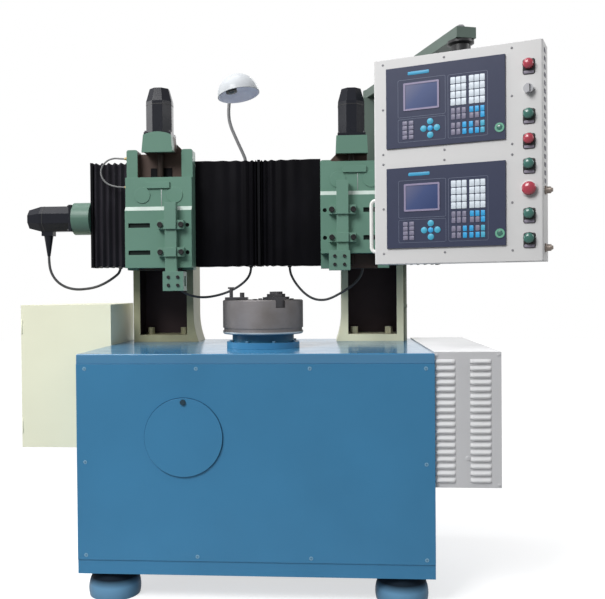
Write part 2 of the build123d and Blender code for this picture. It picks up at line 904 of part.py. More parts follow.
def saddle(head_x, motor_x, inward, top_z, bracket_z, lip_rise, bracket_width, seat_width):
    """The saddle casting with a gusset on its inner side, its motor bracket and its carriages."""
    half = saddle_width / 2
    edge_x = motor_x + inward * bracket_width / 2
    with BuildPart() as casting:
        for outer in (-half, half - saddle_rib_width):
            block(
                (head_x + outer, head_x + outer + saddle_rib_width),
                (rib_front_y, saddle_back_y),
                (saddle_bottom_z, top_z + saddle_lug_height),
            )
        fillet(
            casting.edges().filter_by(Axis.Y).group_by(Axis.Z)[-1],
            min(saddle_lug_radius, saddle_rib_width / 3),
        )
        block((head_x - half, head_x + half), (saddle_front_y, saddle_back_y), (saddle_bottom_z, top_z))
        block(
            (motor_x - bracket_width / 2, motor_x + bracket_width / 2),
            (saddle_front_y, saddle_back_y),
            (saddle_bottom_z, bracket_z),
        )
        with BuildSketch(Plane(origin=(0, saddle_back_y, 0), x_dir=(1, 0, 0), z_dir=(0, -1, 0))):
            with BuildLine():
                Polyline(
                    (edge_x, top_z),
                    (edge_x + inward * gusset_width, top_z),
                    (edge_x, top_z + gusset_height),
                    close=True,
                )
            make_face()
        extrude(amount=gusset_thickness)
    foot, seat = bracket_width / 2, seat_width / 2
    seat_z = bracket_z + bracket_height
    lip_y = motor_axis_y - servo_width / 2 - running_clearance
    lip_z = bracket_z - bracket_lip_drop
    with BuildPart() as bracket:
        with BuildSketch(Plane(origin=(motor_x, saddle_back_y, 0), x_dir=(1, 0, 0), z_dir=(0, -1, 0))):
            with BuildLine():
                Polyline((-seat, seat_z), (-foot, bracket_z), (foot, bracket_z), (seat, seat_z), close=True)
            make_face()
        extrude(amount=saddle_back_y - lip_y)
        with BuildSketch(Plane(origin=(motor_x, lip_y, 0), x_dir=(1, 0, 0), z_dir=(0, -1, 0))):
            with BuildLine():
                Polyline((-seat, seat_z), (-foot, bracket_z), (-foot, lip_z))
                Polyline((-foot, lip_z), (foot, lip_z), (foot, bracket_z), (seat, seat_z))
                if lip_rise:
                    ThreePointArc((seat, seat_z), (0, seat_z + lip_rise), (-seat, seat_z))
                else:
                    Line((seat, seat_z), (-seat, seat_z))
            make_face()
        extrude(amount=bracket_lip_thickness)
        with Locations((motor_x, motor_axis_y, seat_z)):
            Hole(z_screw_diameter / 2 + running_clearance)
    return group(casting.part, bracket.part, *rail_carriages(head_x))


def slide(head_x, motor_x, inward, top_z):
    """The vertical slide: a stepped plate with clamping slots, and a tongue between the ribs."""
    half = saddle_width / 2
    tongue_half = half - saddle_rib_width - running_clearance
    bottom_z = top_z - slide_height
    with BuildPart() as plate:
        block((head_x - half, head_x + half), (slide_front_y, slide_back_y), (bottom_z, top_z))
        with BuildSketch(Plane(origin=(head_x - half, 0, 0), x_dir=(0, 1, 0), z_dir=(1, 0, 0))):
            with BuildLine():
                Polyline(
                    (slide_front_y, bottom_z),
                    (step_front_y, bottom_z),
                    (step_front_y, bottom_z + slide_step_height - slide_ledge_height),
                    (slide_front_y, bottom_z + slide_step_height),
                    close=True,
                )
            make_face()
        extrude(amount=saddle_width)
        block(
            (head_x - slide_boss_width / 2, head_x + slide_boss_width / 2),
            (slide_front_y - slide_boss_rise, slide_front_y),
            (top_z - slide_boss_drop - slide_boss_height, top_z - slide_boss_drop),
        )
        pad_face = Plane(
            origin=(head_x, slide_front_y, top_z - slide_pad_drop), x_dir=(1, 0, 0), z_dir=(0, -1, 0)
        )
        with BuildSketch(pad_face):
            with GridLocations(slide_pad_spacing, 0, 2, 1):
                Circle(slide_pad_diameter / 2)
        extrude(amount=slide_pad_rise)
        block(
            (head_x - tongue_half, head_x + tongue_half),
            (slide_back_y, slide_back_y + slide_tongue_depth),
            (bottom_z, top_z),
        )
        with Locations((motor_x, motor_axis_y, top_z)):
            Hole(z_screw_diameter / 2 + running_clearance)
        outer_x = head_x - inward * (half - slot_inset)
        slot_end_x = outer_x + inward * slot_length
        for level in (bottom_z + slot_level_lower, bottom_z + slot_level_upper):
            block(
                (min(outer_x, slot_end_x), max(outer_x, slot_end_x)),
                (step_front_y, step_front_y + slot_depth),
                (level - slot_height / 2, level + slot_height / 2),
                Mode.SUBTRACT,
            )
            hole_x = head_x + inward * (half - slide_hole_inset)
            face = Plane(origin=(hole_x, step_front_y, level), x_dir=(1, 0, 0), z_dir=(0, -1, 0))
            with Locations(face):
                Hole(slide_hole_diameter / 2, slide_step)
    return plate.part


def tool_bar(bar_x, top_z, lug_levels):
    """The upright bar, relieved below each of its two clamping lugs, and their bolts."""
    bar_front_y = step_front_y - tool_bar_thickness
    lower, upper = lug_levels
    bottom_z = top_z - tool_bar_length
    with BuildPart() as bar:
        block(
            (bar_x - tool_bar_width / 2, bar_x + tool_bar_width / 2),
            (bar_front_y, step_front_y),
            (bottom_z, top_z),
        )
        for span in (
            (bottom_z, lower - bar_lug_height / 2),
            (lower + bar_lug_height / 2, upper - bar_lug_height / 2),
        ):
            block(
                (bar_x - tool_bar_width / 2, bar_x + tool_bar_width / 2),
                (bar_front_y, bar_front_y + tool_bar_relief),
                span,
                Mode.SUBTRACT,
            )
        for level in lug_levels:
            block(
                (bar_x - bar_lug_width / 2, bar_x + bar_lug_width / 2),
                (step_front_y - bar_lug_thickness, step_front_y),
                (level - bar_lug_height / 2, level + bar_lug_height / 2),
            )
            bolt_face = Plane(
                origin=(bar_x, step_front_y - bar_lug_thickness, level),
                x_dir=(1, 0, 0),
                z_dir=(0, -1, 0),
            )
            with BuildSketch(bolt_face):
                with GridLocations(bar_bolt_spacing, 0, 2, 1):
                    Circle(bar_bolt_diameter / 2)
            extrude(amount=bar_bolt_head)
    return bar.part


def tool_block(block_x, top_z):
    """The tool block: a body with a square slot along X, and four clamping screws in front."""
    middle_z = top_z - tool_block_height / 2
    front_y = spindle_y - tool_block_depth / 2
    slot_front_y = spindle_y - tool_slot_depth / 2
    face = Plane(origin=(block_x, front_y, middle_z), x_dir=(1, 0, 0), z_dir=(0, -1, 0))
    with BuildPart() as body:
        with Locations((block_x, spindle_y, middle_z)):
            Box(tool_block_width, tool_block_depth, tool_block_height)
            Box(tool_block_width, tool_slot_depth, tool_slot_height, mode=Mode.SUBTRACT)
        with Locations(face):
            with GridLocations(tool_screw_spacing_x, tool_screw_spacing_z, 2, 2):
                Hole(tool_screw_diameter / 2 + seat_clearance, slot_front_y - front_y)
    with BuildPart() as screws:
        with BuildSketch(face):
            with GridLocations(tool_screw_spacing_x, tool_screw_spacing_z, 2, 2):
                Circle(tool_screw_diameter / 2)
        extrude(amount=front_y - slot_front_y)
    return group(body.part, screws.part)


right_saddle_z = saddle_top_z - right_saddle_drop
heads = (
    ("left", left_head_x, 1, left_slide_drop, left_bar_drop, left_bar_offset, left_block_offset),
    ("right", right_head_x, -1, right_slide_drop, right_bar_drop, right_bar_offset, right_block_offset),
)
castings = {
    "left": (saddle_top_z, saddle_top_z, left_lip_rise, left_bracket_width, left_seat_width),
    "right": (
        right_saddle_z,
        right_saddle_z + right_bracket_lift,
        0,
        right_bracket_width,
        right_seat_width,
    ),
}
motor_places = {"left": left_head_x, "right": right_head_x - right_motor_offset}
for name, head_x, inward, slide_drop, bar_drop, bar_offset, block_offset in heads:
    casting_top_z, bracket_z, lip_rise, bracket_width, seat_width = castings[name]
    motor_x = motor_places[name]
    slide_top_z = saddle_top_z - slide_drop
    slide_bottom_z = slide_top_z - slide_height
    bar_x = head_x + inward * bar_offset
    bar_top_z = slide_top_z - bar_drop
    lug_levels = (slide_bottom_z + slot_level_lower, slide_bottom_z + slot_level_upper)
    bracket_top_z = bracket_z + bracket_height
    motor_seat = Plane(origin=(motor_x, motor_axis_y, bracket_top_z), x_dir=(-1, 0, 0))
    saddle_part = saddle(
        head_x, motor_x, inward, casting_top_z, bracket_z, lip_rise, bracket_width, seat_width
    )
    save(saddle_part, f"{name}_saddle")
    save(servo(motor_seat, relief=False), f"{name}_z_motor")
    with BuildPart() as z_screw:
        with Locations((motor_x, motor_axis_y, bracket_top_z)):
            Cylinder(
                z_screw_diameter / 2, bracket_top_z - saddle_bottom_z - z_screw_tail, align=high
            )
    save(z_screw.part, f"{name}_z_screw")
    save(slide(head_x, motor_x, inward, slide_top_z), f"{name}_slide")
    save(tool_bar(bar_x, bar_top_z, lug_levels), f"{name}_tool_bar")
    save(
        tool_block(bar_x + inward * block_offset, bar_top_z - tool_bar_length),
        f"{name}_tool_block",
    )


# Bellows: channels round the beam on each side of each saddle
def bellows(start, end):
    """A channel with walls in front, above and below the beam, between two stations along X."""
    span = (start + running_clearance, end - running_clearance)
    with BuildPart() as channel:
        block(span, (frame_front_y, frame_back_y), (frame_bottom_z, frame_top_z))
        block(
            span,
            (frame_front_y + bellows_wall, frame_back_y),
            (frame_bottom_z + bellows_wall, frame_top_z - bellows_wall),
            Mode.SUBTRACT,
        )
    return channel.part


half_saddle = saddle_width / 2
centre_left = beam_frame_x - beam_frame_thickness / 2
centre_right = beam_frame_x + beam_frame_thickness / 2
save(
    group(
        bellows(-beam_end_x, left_head_x - half_saddle),
        bellows(left_head_x + half_saddle, centre_left),
    ),
    "bellows_left",
)
save(
    group(
        bellows(centre_right, right_head_x - half_saddle),
        bellows(right_head_x + half_saddle, beam_end_x),
    ),
    "bellows_right",
)

# Electrical cabinet with a hinged door and its gear plate
cabinet_left_x = -base_side_x - cabinet_width
cabinet_back_y = base_back_y
cabinet_front_y = cabinet_back_y - cabinet_depth
cabinet_top_z = cabinet_bottom_z + cabinet_height
door_back_y = cabinet_front_y + cabinet_door_thickness
with BuildPart() as electrical_cabinet:
    block(
        (cabinet_left_x, -base_side_x),
        (door_back_y + running_clearance, cabinet_back_y),
        (cabinet_bottom_z, cabinet_top_z),
    )
    block(
        (cabinet_left_x + cabinet_wall, -base_side_x - cabinet_wall),
        (door_back_y + running_clearance, cabinet_back_y - cabinet_wall),
        (cabinet_bottom_z + cabinet_wall, cabinet_top_z - cabinet_wall),
        Mode.SUBTRACT,
    )
save(electrical_cabinet.part, "electrical_cabinet")

with BuildPart() as cabinet_door:
    block(
        (cabinet_left_x, -base_side_x - running_clearance),
        (cabinet_front_y, door_back_y),
        (cabinet_bottom_z, cabinet_top_z),
    )
save(cabinet_door.part, "cabinet_door")

plate_front_y = cabinet_back_y - cabinet_wall - gear_plate_thickness
with BuildPart() as gear_plate:
    block(
        (cabinet_left_x + gear_plate_margin, -base_side_x - gear_plate_margin),
        (plate_front_y, cabinet_back_y - cabinet_wall),
        (cabinet_bottom_z + gear_plate_margin, cabinet_top_z - gear_plate_margin),
    )
gear_width = cabinet_width - 4 * gear_plate_margin
gear_height = cabinet_height - 4 * gear_plate_margin
gear_face = Plane(
    origin=(-base_side_x - cabinet_width / 2, plate_front_y, cabinet_bottom_z + cabinet_height / 2),
    x_dir=(1, 0, 0),
    z_dir=(0, -1, 0),
)
with BuildPart() as gear_blocks:
    with BuildSketch(gear_face):
        with GridLocations(gear_width / 2, gear_height / 3, 2, 3):
            Rectangle(gear_width / 2 - gear_plate_margin, gear_height / 3 - gear_plate_margin)
    extrude(amount=gear_block_depth)
save(group(gear_plate.part, gear_blocks.part), "electrical_gear")

# Louvred drive box on the right side of the base
box_front_y = base_front_y + drive_box_setback
drive_top_z = base_top_z + drive_box_lip
drive_bottom_z = drive_top_z - drive_box_height
drive_right_x = base_side_x + drive_box_width
with BuildPart() as drive_shell:
    block(
        (base_side_x, drive_right_x),
        (box_front_y + drive_box_wall, base_back_y),
        (drive_bottom_z, drive_top_z),
    )
    block(
        (base_side_x + drive_box_wall, drive_right_x - drive_box_wall),
        (box_front_y + drive_box_wall, base_back_y - drive_box_wall),
        (drive_bottom_z + drive_box_wall, drive_top_z - drive_box_wall),
        Mode.SUBTRACT,
    )
louvre_face = Plane(
    origin=(base_side_x + drive_box_width / 2, box_front_y, drive_top_z),
    x_dir=(1, 0, 0),
    z_dir=(0, -1, 0),
)
louvre_middle = -louvre_top_margin - louvre_pitch * (louvre_rows - 1) / 2
with BuildPart() as drive_cover:
    with BuildSketch(louvre_face):
        with Locations((0, -drive_box_height / 2)):
            Rectangle(drive_box_width, drive_box_height)
        with Locations((louvre_shift, louvre_middle)):
            with GridLocations(louvre_spacing, louvre_pitch, 2, louvre_rows):
                Rectangle(louvre_length, louvre_height, mode=Mode.SUBTRACT)
        with Locations((0, lock_height - drive_box_height)):
            Circle(lock_diameter / 2, mode=Mode.SUBTRACT)
    extrude(amount=-drive_box_wall)
save(group(drive_shell.part, drive_cover.part), "drive_box")

# Post on the right column and the swing arm that turns on its pin
post_y = column_middle_y
post_foot = Plane(origin=(post_x, post_y, column_top_z))
with BuildPart(post_foot) as arm_post:
    Box(post_flange_width, post_flange_width, post_flange_thickness, align=low)
    Box(post_width, post_width, post_height, align=low)
    with Locations((0, 0, post_height)):
        Cylinder(post_pin_diameter / 2, post_pin_length, align=low)
save(arm_post.part, "arm_post")

arm_direction = (sin(radians(arm_angle)), -cos(radians(arm_angle)), 0)
arm_plane = Plane(origin=(post_x, post_y, arm_bottom_z), x_dir=arm_direction, z_dir=(0, 0, 1))
with BuildPart() as swing_arm:
    with BuildSketch(arm_plane):
        Circle(post_width / 2)
        with Locations((arm_length / 2 + arm_end / 2, 0)):
            Rectangle(arm_length + arm_end, arm_width)
    extrude(amount=arm_height)
    with Locations(arm_plane.offset(post_pin_length)):
        Hole(post_pin_diameter / 2 + running_clearance, post_pin_length)
    with Locations(arm_plane.offset(box_pin_length)):
        with Locations((arm_length, 0)):
            Hole(box_pin_diameter / 2 + running_clearance, box_pin_length)
save(swing_arm.part, "swing_arm")

# Control box with two control units, push buttons, a selector and a bow handle
turn = radians(box_turn)
swivel = arm_plane.from_local_coords((arm_length, 0, 0))
box_plane = Plane(
    origin=(swivel.X, swivel.Y, box_middle_z), x_dir=(cos(turn), -sin(turn), 0), z_dir=(0, 0, 1)
)
box_face = Plane(
    origin=box_plane.from_local_coords((0, -box_front_reach, 0)),
    x_dir=box_plane.x_dir,
    z_dir=-box_plane.y_dir,
)
cnc_width = box_width - cnc_left_margin - cnc_right_margin
cnc_height = (box_height - cnc_top_margin - cnc_gap - cnc_bottom_margin) / 2
cnc_x = (cnc_left_margin - cnc_right_margin) / 2
cnc_upper_z = box_height / 2 - cnc_top_margin - cnc_height / 2
cnc_lower_z = cnc_bottom_margin + cnc_height / 2 - box_height / 2
cnc_places = [(cnc_x, cnc_upper_z), (cnc_x, cnc_lower_z)]
button_column_x = box_width / 2 - button_side_margin
button_pitch = (box_height - button_top_margin - button_bottom_margin) / 7
button_levels = [box_height / 2 - button_top_margin - button_pitch * row for row in range(8)]
button_places = [(button_column_x, level) for level in button_levels]
box_back_y = box_depth - box_front_reach
with BuildPart(box_plane) as control_box:
    block(
        (-box_width / 2, box_width / 2),
        (-box_front_reach, box_back_y),
        (-box_height / 2, box_height / 2),
    )
    fillet(control_box.edges().filter_by(Axis.Z), box_corner_radius)
    block(
        (-box_width / 2 + box_wall, box_width / 2 - box_wall),
        (-box_front_reach + box_wall, box_back_y - box_wall),
        (-box_height / 2 + box_wall, box_height / 2 - box_wall),
        Mode.SUBTRACT,
    )
    with Locations((0, 0, box_height / 2)):
        Cylinder(box_neck_diameter / 2, box_neck_height, align=low)
    with Locations((0, 0, box_height / 2 + box_neck_height)):
        Cylinder(box_pin_diameter / 2, box_pin_length, align=low)
    with BuildSketch(box_face):
        with Locations(*cnc_places):
            Rectangle(
                cnc_width - 2 * cnc_body_inset + 2 * running_clearance,
                cnc_height - 2 * cnc_body_inset + 2 * running_clearance,
            )
        with Locations(*button_places):
            Circle(button_hole_diameter / 2 + running_clearance)
    extrude(amount=-box_wall, mode=Mode.SUBTRACT)
save(control_box.part, "control_box")

with BuildPart() as cnc_units:
    with BuildSketch(box_face):
        with Locations(*cnc_places):
            Rectangle(cnc_width, cnc_height)
    extrude(amount=cnc_bezel)
    with BuildSketch(box_face):
        with Locations(*cnc_places):
            Rectangle(cnc_width - 2 * cnc_body_inset, cnc_height - 2 * cnc_body_inset)
    extrude(amount=-cnc_body_depth)
save(cnc_units.part, "cnc_units")

handle_centre_z = handle_bottom_margin + handle_length / 2 - box_height / 2
handle_face = Plane(
    origin=box_plane.from_local_coords((-box_width / 2, box_back_y - box_depth / 2, handle_centre_z)),
    x_dir=(0, 0, 1),
    z_dir=-box_plane.x_dir,
)
handle_half = handle_length / 2 - handle_diameter / 2
bow = [
    handle_face.from_local_coords(point)
    for point in (
        (-handle_half, 0, 0),
        (-handle_half, 0, handle_reach),
        (handle_half, 0, handle_reach),
        (handle_half, 0, 0),
    )
]
with BuildPart() as box_handle:
    with BuildLine():
        FilletPolyline(*bow, radius=handle_reach / 2)
    with BuildSketch(Plane(origin=bow[0], z_dir=handle_face.z_dir)):
        Circle(handle_diameter / 2)
    sweep()
save(box_handle.part, "box_handle")


def push_button(level, cap_diameter, cap_height):
    """A cap that stands clear of the panel, on a stem that runs in its hole."""
    with BuildPart() as button:
        with BuildSketch(box_face.offset(button_lift)):
            with Locations((button_column_x, level)):
                Circle(cap_diameter / 2)
        extrude(amount=cap_height)
        with BuildSketch(box_face.offset(button_lift)):
            with Locations((button_column_x, level)):
                Circle(button_hole_diameter / 2)
        extrude(amount=-button_stem_length)
    return button.part


button_names = (
    "button_red_top",
    "selector_knob",
    "button_green_upper",
    "button_red_middle",
    "button_green_middle",
    "emergency_stop",
    "button_green_lower",
    "button_green_bottom",
)
for name, level in zip(button_names, button_levels):
    if name == "selector_knob":
        with BuildPart() as knob:
            with BuildSketch(box_face.offset(running_clearance)):
                with Locations((button_column_x, level)):
                    Circle(knob_diameter / 2)
            extrude(amount=knob_height)
            with BuildSketch(box_face.offset(running_clearance + knob_height)):
                with Locations((button_column_x, level)):
                    Rectangle(knob_grip_width, knob_grip_length)
            extrude(amount=knob_grip_height)
            with BuildSketch(box_face.offset(running_clearance)):
                with Locations((button_column_x, level)):
                    Circle(button_hole_diameter / 2)
            extrude(amount=-button_stem_length)
        save(knob.part, name)
    elif name == "emergency_stop":
        save(push_button(level, mushroom_diameter, mushroom_height), name)
    else:
        save(push_button(level, button_cap_diameter, button_cap_height), name)


# Tubes: straight runs joined by arcs as large as the runs allow
def tube(points, diameter):
    """A round tube along a route, with each bend a fixed share of its shorter run."""
    places = [Vector(*point) for point in points]
    runs = [end - start for start, end in zip(places, places[1:])]
    radii = [
        bend_share * min(before.length, after.length) / tan(radians(before.get_angle(after) / 2))
        for before, after in zip(runs, runs[1:])
    ]
    with BuildPart() as cord:
        with BuildLine() as route:
            FilletPolyline(*places, radius=radii)
        with BuildSketch(Plane(origin=places[0], z_dir=runs[0])):
            Circle(diameter / 2)
        sweep()
    print(f"tube of length {sum(edge.length for edge in route.edges()):.0f}")
    return cord.part


# Lamp: gooseneck with a knuckle and pin, a domed shade that tilts on it, socket and bulb
lean, tilt = radians(lamp_lean), radians(lamp_tilt)
lamp_base = Vector(lamp_base_x, beam_front_y + lamp_base_inset, column_top_z)
lamp_plane = Plane(
    origin=lamp_base + Vector(lamp_reach_x, lamp_reach_y, lamp_rise),
    x_dir=(cos(lean), 0, sin(lean)),
    z_dir=(-sin(lean) * cos(tilt), sin(tilt), cos(lean) * cos(tilt)),
)
shade_rim = -shade_drop - shade_radius
lug_angle = radians(lamp_lug_angle)
lug_reach = shade_radius + lamp_lug_stand
pivot_y = lug_reach * cos(lug_angle)
pivot_z = shade_rim + lug_reach * sin(lug_angle)
knuckle = Vector(*lamp_plane.from_local_coords((-lamp_knuckle_offset, pivot_y, pivot_z)))
pin_plane = Plane(origin=knuckle, z_dir=lamp_plane.x_dir)
neck_from_base = (
    (0, 0, 0),
    (0, 0, 33),
    (-13, 1, 64),
    (-29, 3, 98),
    (-44, 5, 132),
    (-59, 8, 166),
    (-69, 11, 200),
    (-72, 14, 235),
    (-70, 17, 270),
)
neck_from_knuckle = (
    (-15, 37, -45),
    (-12, 34, -16),
    (-6, 18, 0),
    (0, 0, 0),
)
gooseneck_route = [lamp_base + Vector(*offset) for offset in neck_from_base]
gooseneck_route += [knuckle + Vector(*offset) for offset in neck_from_knuckle]
with BuildPart() as lamp_gooseneck:
    add(tube(gooseneck_route, lamp_tube_diameter))
    with Locations(Plane(origin=lamp_base)):
        Cylinder(lamp_collar_diameter / 2, lamp_collar_height, align=low)
    with Locations(pin_plane):
        Cylinder(lamp_knuckle_diameter / 2, lamp_knuckle_diameter / 2)
        Cylinder(lamp_pin_diameter / 2, lamp_knuckle_offset + lamp_lug_width / 2, align=low)
save(lamp_gooseneck.part, "lamp_gooseneck")

socket_top = shade_rim + socket_height
shade_middle = (0, 0, shade_rim)
web_length = 2 * lamp_lug_stand
with BuildPart() as socket_boss:
    with Locations((socket_offset, 0, socket_top)):
        Cylinder(socket_boss_diameter / 2, shade_radius, align=low)
    with Locations(shade_middle):
        Sphere(shade_radius - shade_wall / 2, mode=Mode.INTERSECT)
with BuildPart() as shade_lug:
    with BuildSketch(Plane.YZ.offset(-lamp_lug_width / 2)):
        with Locations((pivot_y, pivot_z)):
            Circle(lamp_lug_diameter / 2)
        with Locations((shade_radius * cos(lug_angle), shade_rim + shade_radius * sin(lug_angle))):
            Rectangle(web_length, lamp_lug_diameter, rotation=lamp_lug_angle)
    extrude(amount=lamp_lug_width)
    with Locations(shade_middle):
        Sphere(shade_radius - shade_wall / 2, mode=Mode.SUBTRACT)
with BuildPart() as upright_shade:
    with BuildSketch(Plane.XZ):
        with BuildLine():
            outer = CenterArc((0, shade_rim), shade_radius, 0, 90)
            inner = CenterArc((0, shade_rim), shade_radius - shade_wall, 0, 90)
            Line(outer @ 0, inner @ 0)
            Line(outer @ 1, inner @ 1)
        make_face()
    revolve(axis=Axis.Z)
    add(socket_boss.part)
    add(shade_lug.part)
    with Locations(Plane(origin=(0, pivot_y, pivot_z), z_dir=(1, 0, 0))):
        Cylinder(lamp_pin_diameter / 2 + running_clearance, 2 * lamp_lug_width, mode=Mode.SUBTRACT)
with BuildPart() as lamp_shade:
    with Locations(lamp_plane):
        add(upright_shade.part)
save(lamp_shade.part, "lamp_shade")

socket_plane = lamp_plane.offset(socket_top)
with BuildPart() as lamp_bulb:
    with BuildSketch(socket_plane):
        with Locations((socket_offset, 0)):
            Circle(socket_diameter / 2)
    extrude(amount=-socket_length)
    with Locations(socket_plane.offset(bulb_inset - socket_length)):
        with Locations((socket_offset, 0, 0)):
            Sphere(bulb_diameter / 2)
save(lamp_bulb.part, "lamp_bulb")

# Cables: the left feed motor's cable, two loops hung under the beam and the oil line
relief_x = -beam_end_x - beam_frame_thickness - motor_adapter_length
relief_x -= servo_plug_start + servo_plug_width / 2
relief_z = feed_screw_height - servo_body_width / 2 - servo_plug_height - strain_relief_length
relief_end = Vector(relief_x, feed_screw_y, relief_z)
motor_cable_end = Vector(-motor_cable_entry, beam_front_y + cable_inset, beam_bottom_z)
from_relief = (
    (0, 0, 0),
    (0, 0, -34),
    (8, 3, -72),
    (29, 7, -106),
    (62, 13, -130),
    (103, 20, -141),
)
from_beam_end = (
    (-150, -28, -100),
    (-106, -20, -93),
    (-68, -12, -77),
    (-32, -5, -54),
    (0, 0, -27),
    (0, 0, 0),
)
motor_cable_route = [relief_end + Vector(*offset) for offset in from_relief]
motor_cable_route += [motor_cable_end + Vector(*offset) for offset in from_beam_end]

left_loop = (
    (0, 0, 0),
    (0, 0, -31),
    (-17, 1, -64),
    (-52, 2, -93),
    (-96, 3, -116),
    (-144, 4, -131),
    (-194, 5, -139),
    (-241, 5, -136),
    (-284, 4, -120),
    (-320, 3, -94),
    (-346, 2, -62),
    (-361, 0, -30),
    (-361, 0, 0),
)
right_loop = (
    (0, 0, 0),
    (0, 0, -32),
    (15, 1, -67),
    (38, 2, -100),
    (68, 3, -131),
    (104, 4, -151),
    (143, 4, -154),
    (174, 3, -145),
    (207, 2, -128),
    (240, 1, -108),
    (270, 1, -86),
    (293, 0, -60),
    (305, 0, -32),
    (305, 0, 0),
)
left_loop_start = Vector(left_loop_x, beam_front_y + cable_inset, beam_bottom_z)
right_loop_start = Vector(right_loop_x, beam_front_y + cable_inset, beam_bottom_z)
left_cable_route = [left_loop_start + Vector(*offset) for offset in left_loop]
right_cable_route = [right_loop_start + Vector(*offset) for offset in right_loop]

oil_loop = (
    (0, 0, 0),
    (-25, 0, 0),
    (-57, 1, 4),
    (-86, 2, -5),
    (-107, 3, -27),
    (-114, 3, -54),
    (-105, 2, -82),
    (-83, 1, -103),
    (-54, 0, -112),
    (-26, 0, -116),
    (0, 0, -116),
)
oil_line_start = Vector(left_head_x - saddle_width / 2, motor_axis_y, saddle_top_z - oil_line_drop)
oil_line_route = [oil_line_start + Vector(*offset) for offset in oil_loop]
save(tube(motor_cable_route, motor_cable_diameter), "left_motor_cable")
save(tube(left_cable_route, hanging_cable_diameter), "left_hanging_cable")
save(tube(right_cable_route, hanging_cable_diameter), "right_hanging_cable")
save(tube(oil_line_route, oil_line_diameter), "left_oil_line")
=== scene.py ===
# %% [markdown]
# # A flange facing lathe
# The machine is a box base with an upright spindle, a portal with two tool heads on a cross beam, and a
# control box that hangs from a swing arm. The CAD model gives every solid its place and size. This script
# dresses it: finishes for all surfaces, folded bellows, cables, keys, screws and other small pieces, each
# worked out as a surface with numpy. All sizes are in metres, in the frame of the CAD model.

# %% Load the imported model
import json
import math

import bpy
import numpy as np
from mathutils import Matrix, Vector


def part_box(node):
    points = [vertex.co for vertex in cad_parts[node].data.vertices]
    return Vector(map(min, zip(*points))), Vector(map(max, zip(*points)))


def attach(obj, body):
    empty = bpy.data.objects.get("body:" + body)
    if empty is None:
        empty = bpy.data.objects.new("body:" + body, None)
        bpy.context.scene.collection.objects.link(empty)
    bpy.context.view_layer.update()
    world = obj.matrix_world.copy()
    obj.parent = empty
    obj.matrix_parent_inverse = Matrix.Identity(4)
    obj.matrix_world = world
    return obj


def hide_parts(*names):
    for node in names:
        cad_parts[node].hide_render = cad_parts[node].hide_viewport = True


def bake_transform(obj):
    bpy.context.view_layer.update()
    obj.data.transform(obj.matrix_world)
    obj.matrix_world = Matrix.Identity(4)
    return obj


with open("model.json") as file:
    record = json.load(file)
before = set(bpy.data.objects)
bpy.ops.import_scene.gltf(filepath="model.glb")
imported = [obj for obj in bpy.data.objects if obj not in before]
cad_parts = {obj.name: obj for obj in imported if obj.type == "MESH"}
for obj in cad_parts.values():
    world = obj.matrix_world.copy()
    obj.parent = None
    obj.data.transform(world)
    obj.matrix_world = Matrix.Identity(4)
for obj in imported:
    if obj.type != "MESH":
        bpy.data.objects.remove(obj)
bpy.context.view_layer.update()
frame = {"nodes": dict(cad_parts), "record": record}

mm = 0.001
nodes = frame["nodes"]


def middle(node):
    """The middle of the box of a CAD node."""
    low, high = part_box(node)
    return (np.array(low) + np.array(high)) / 2


# %% [markdown]
# ## Camera
# The photograph was taken a little right of the middle, at about chest height, almost level. A camera can
# be aimed with a Track To constraint or by hand. Here three small angles, found by fitting straight edges
# of the machine, turn into the three axes of the camera, so that the view is exact and easy to read.

# %% Camera from three angles
image_width = 605
focal_pixels = 800
centre_offset = 30
camera_place = (0.274, -3.200, 1.102)
yaw, pitch, roll = (math.radians(angle) for angle in (4.15, 0.71, 0.47))

ahead = np.array([-math.sin(yaw), math.cos(yaw), 0])
level_right = np.array([math.cos(yaw), math.sin(yaw), 0])
upright = np.array([0, 0, 1])
forward = math.cos(pitch) * ahead - math.sin(pitch) * upright
level_up = math.sin(pitch) * ahead + math.cos(pitch) * upright
camera_right = math.cos(roll) * level_right - math.sin(roll) * level_up
camera_up = math.sin(roll) * level_right + math.cos(roll) * level_up

camera_data = bpy.data.cameras.new("camera")
camera_data.sensor_width = 36
camera_data.lens = focal_pixels * camera_data.sensor_width / image_width
camera_data.shift_x = centre_offset / image_width
camera = bpy.data.objects.new("camera", camera_data)
pose = np.eye(4)
pose[:3, :3] = np.stack([camera_right, camera_up, -forward], axis=1)
pose[:3, 3] = camera_place
camera.matrix_world = Matrix(pose.tolist())
bpy.context.scene.collection.objects.link(camera)
bpy.context.scene.camera = camera
print("lens", round(camera_data.lens, 1), "mm")

# %% [markdown]
# ## Shader maths
# A material could be wired by hand, node by node, but the sums are hard to follow that way. One small class
# wraps a socket, so that a sum such as `1 - edge * 0.5` in Python adds the Math nodes for it.

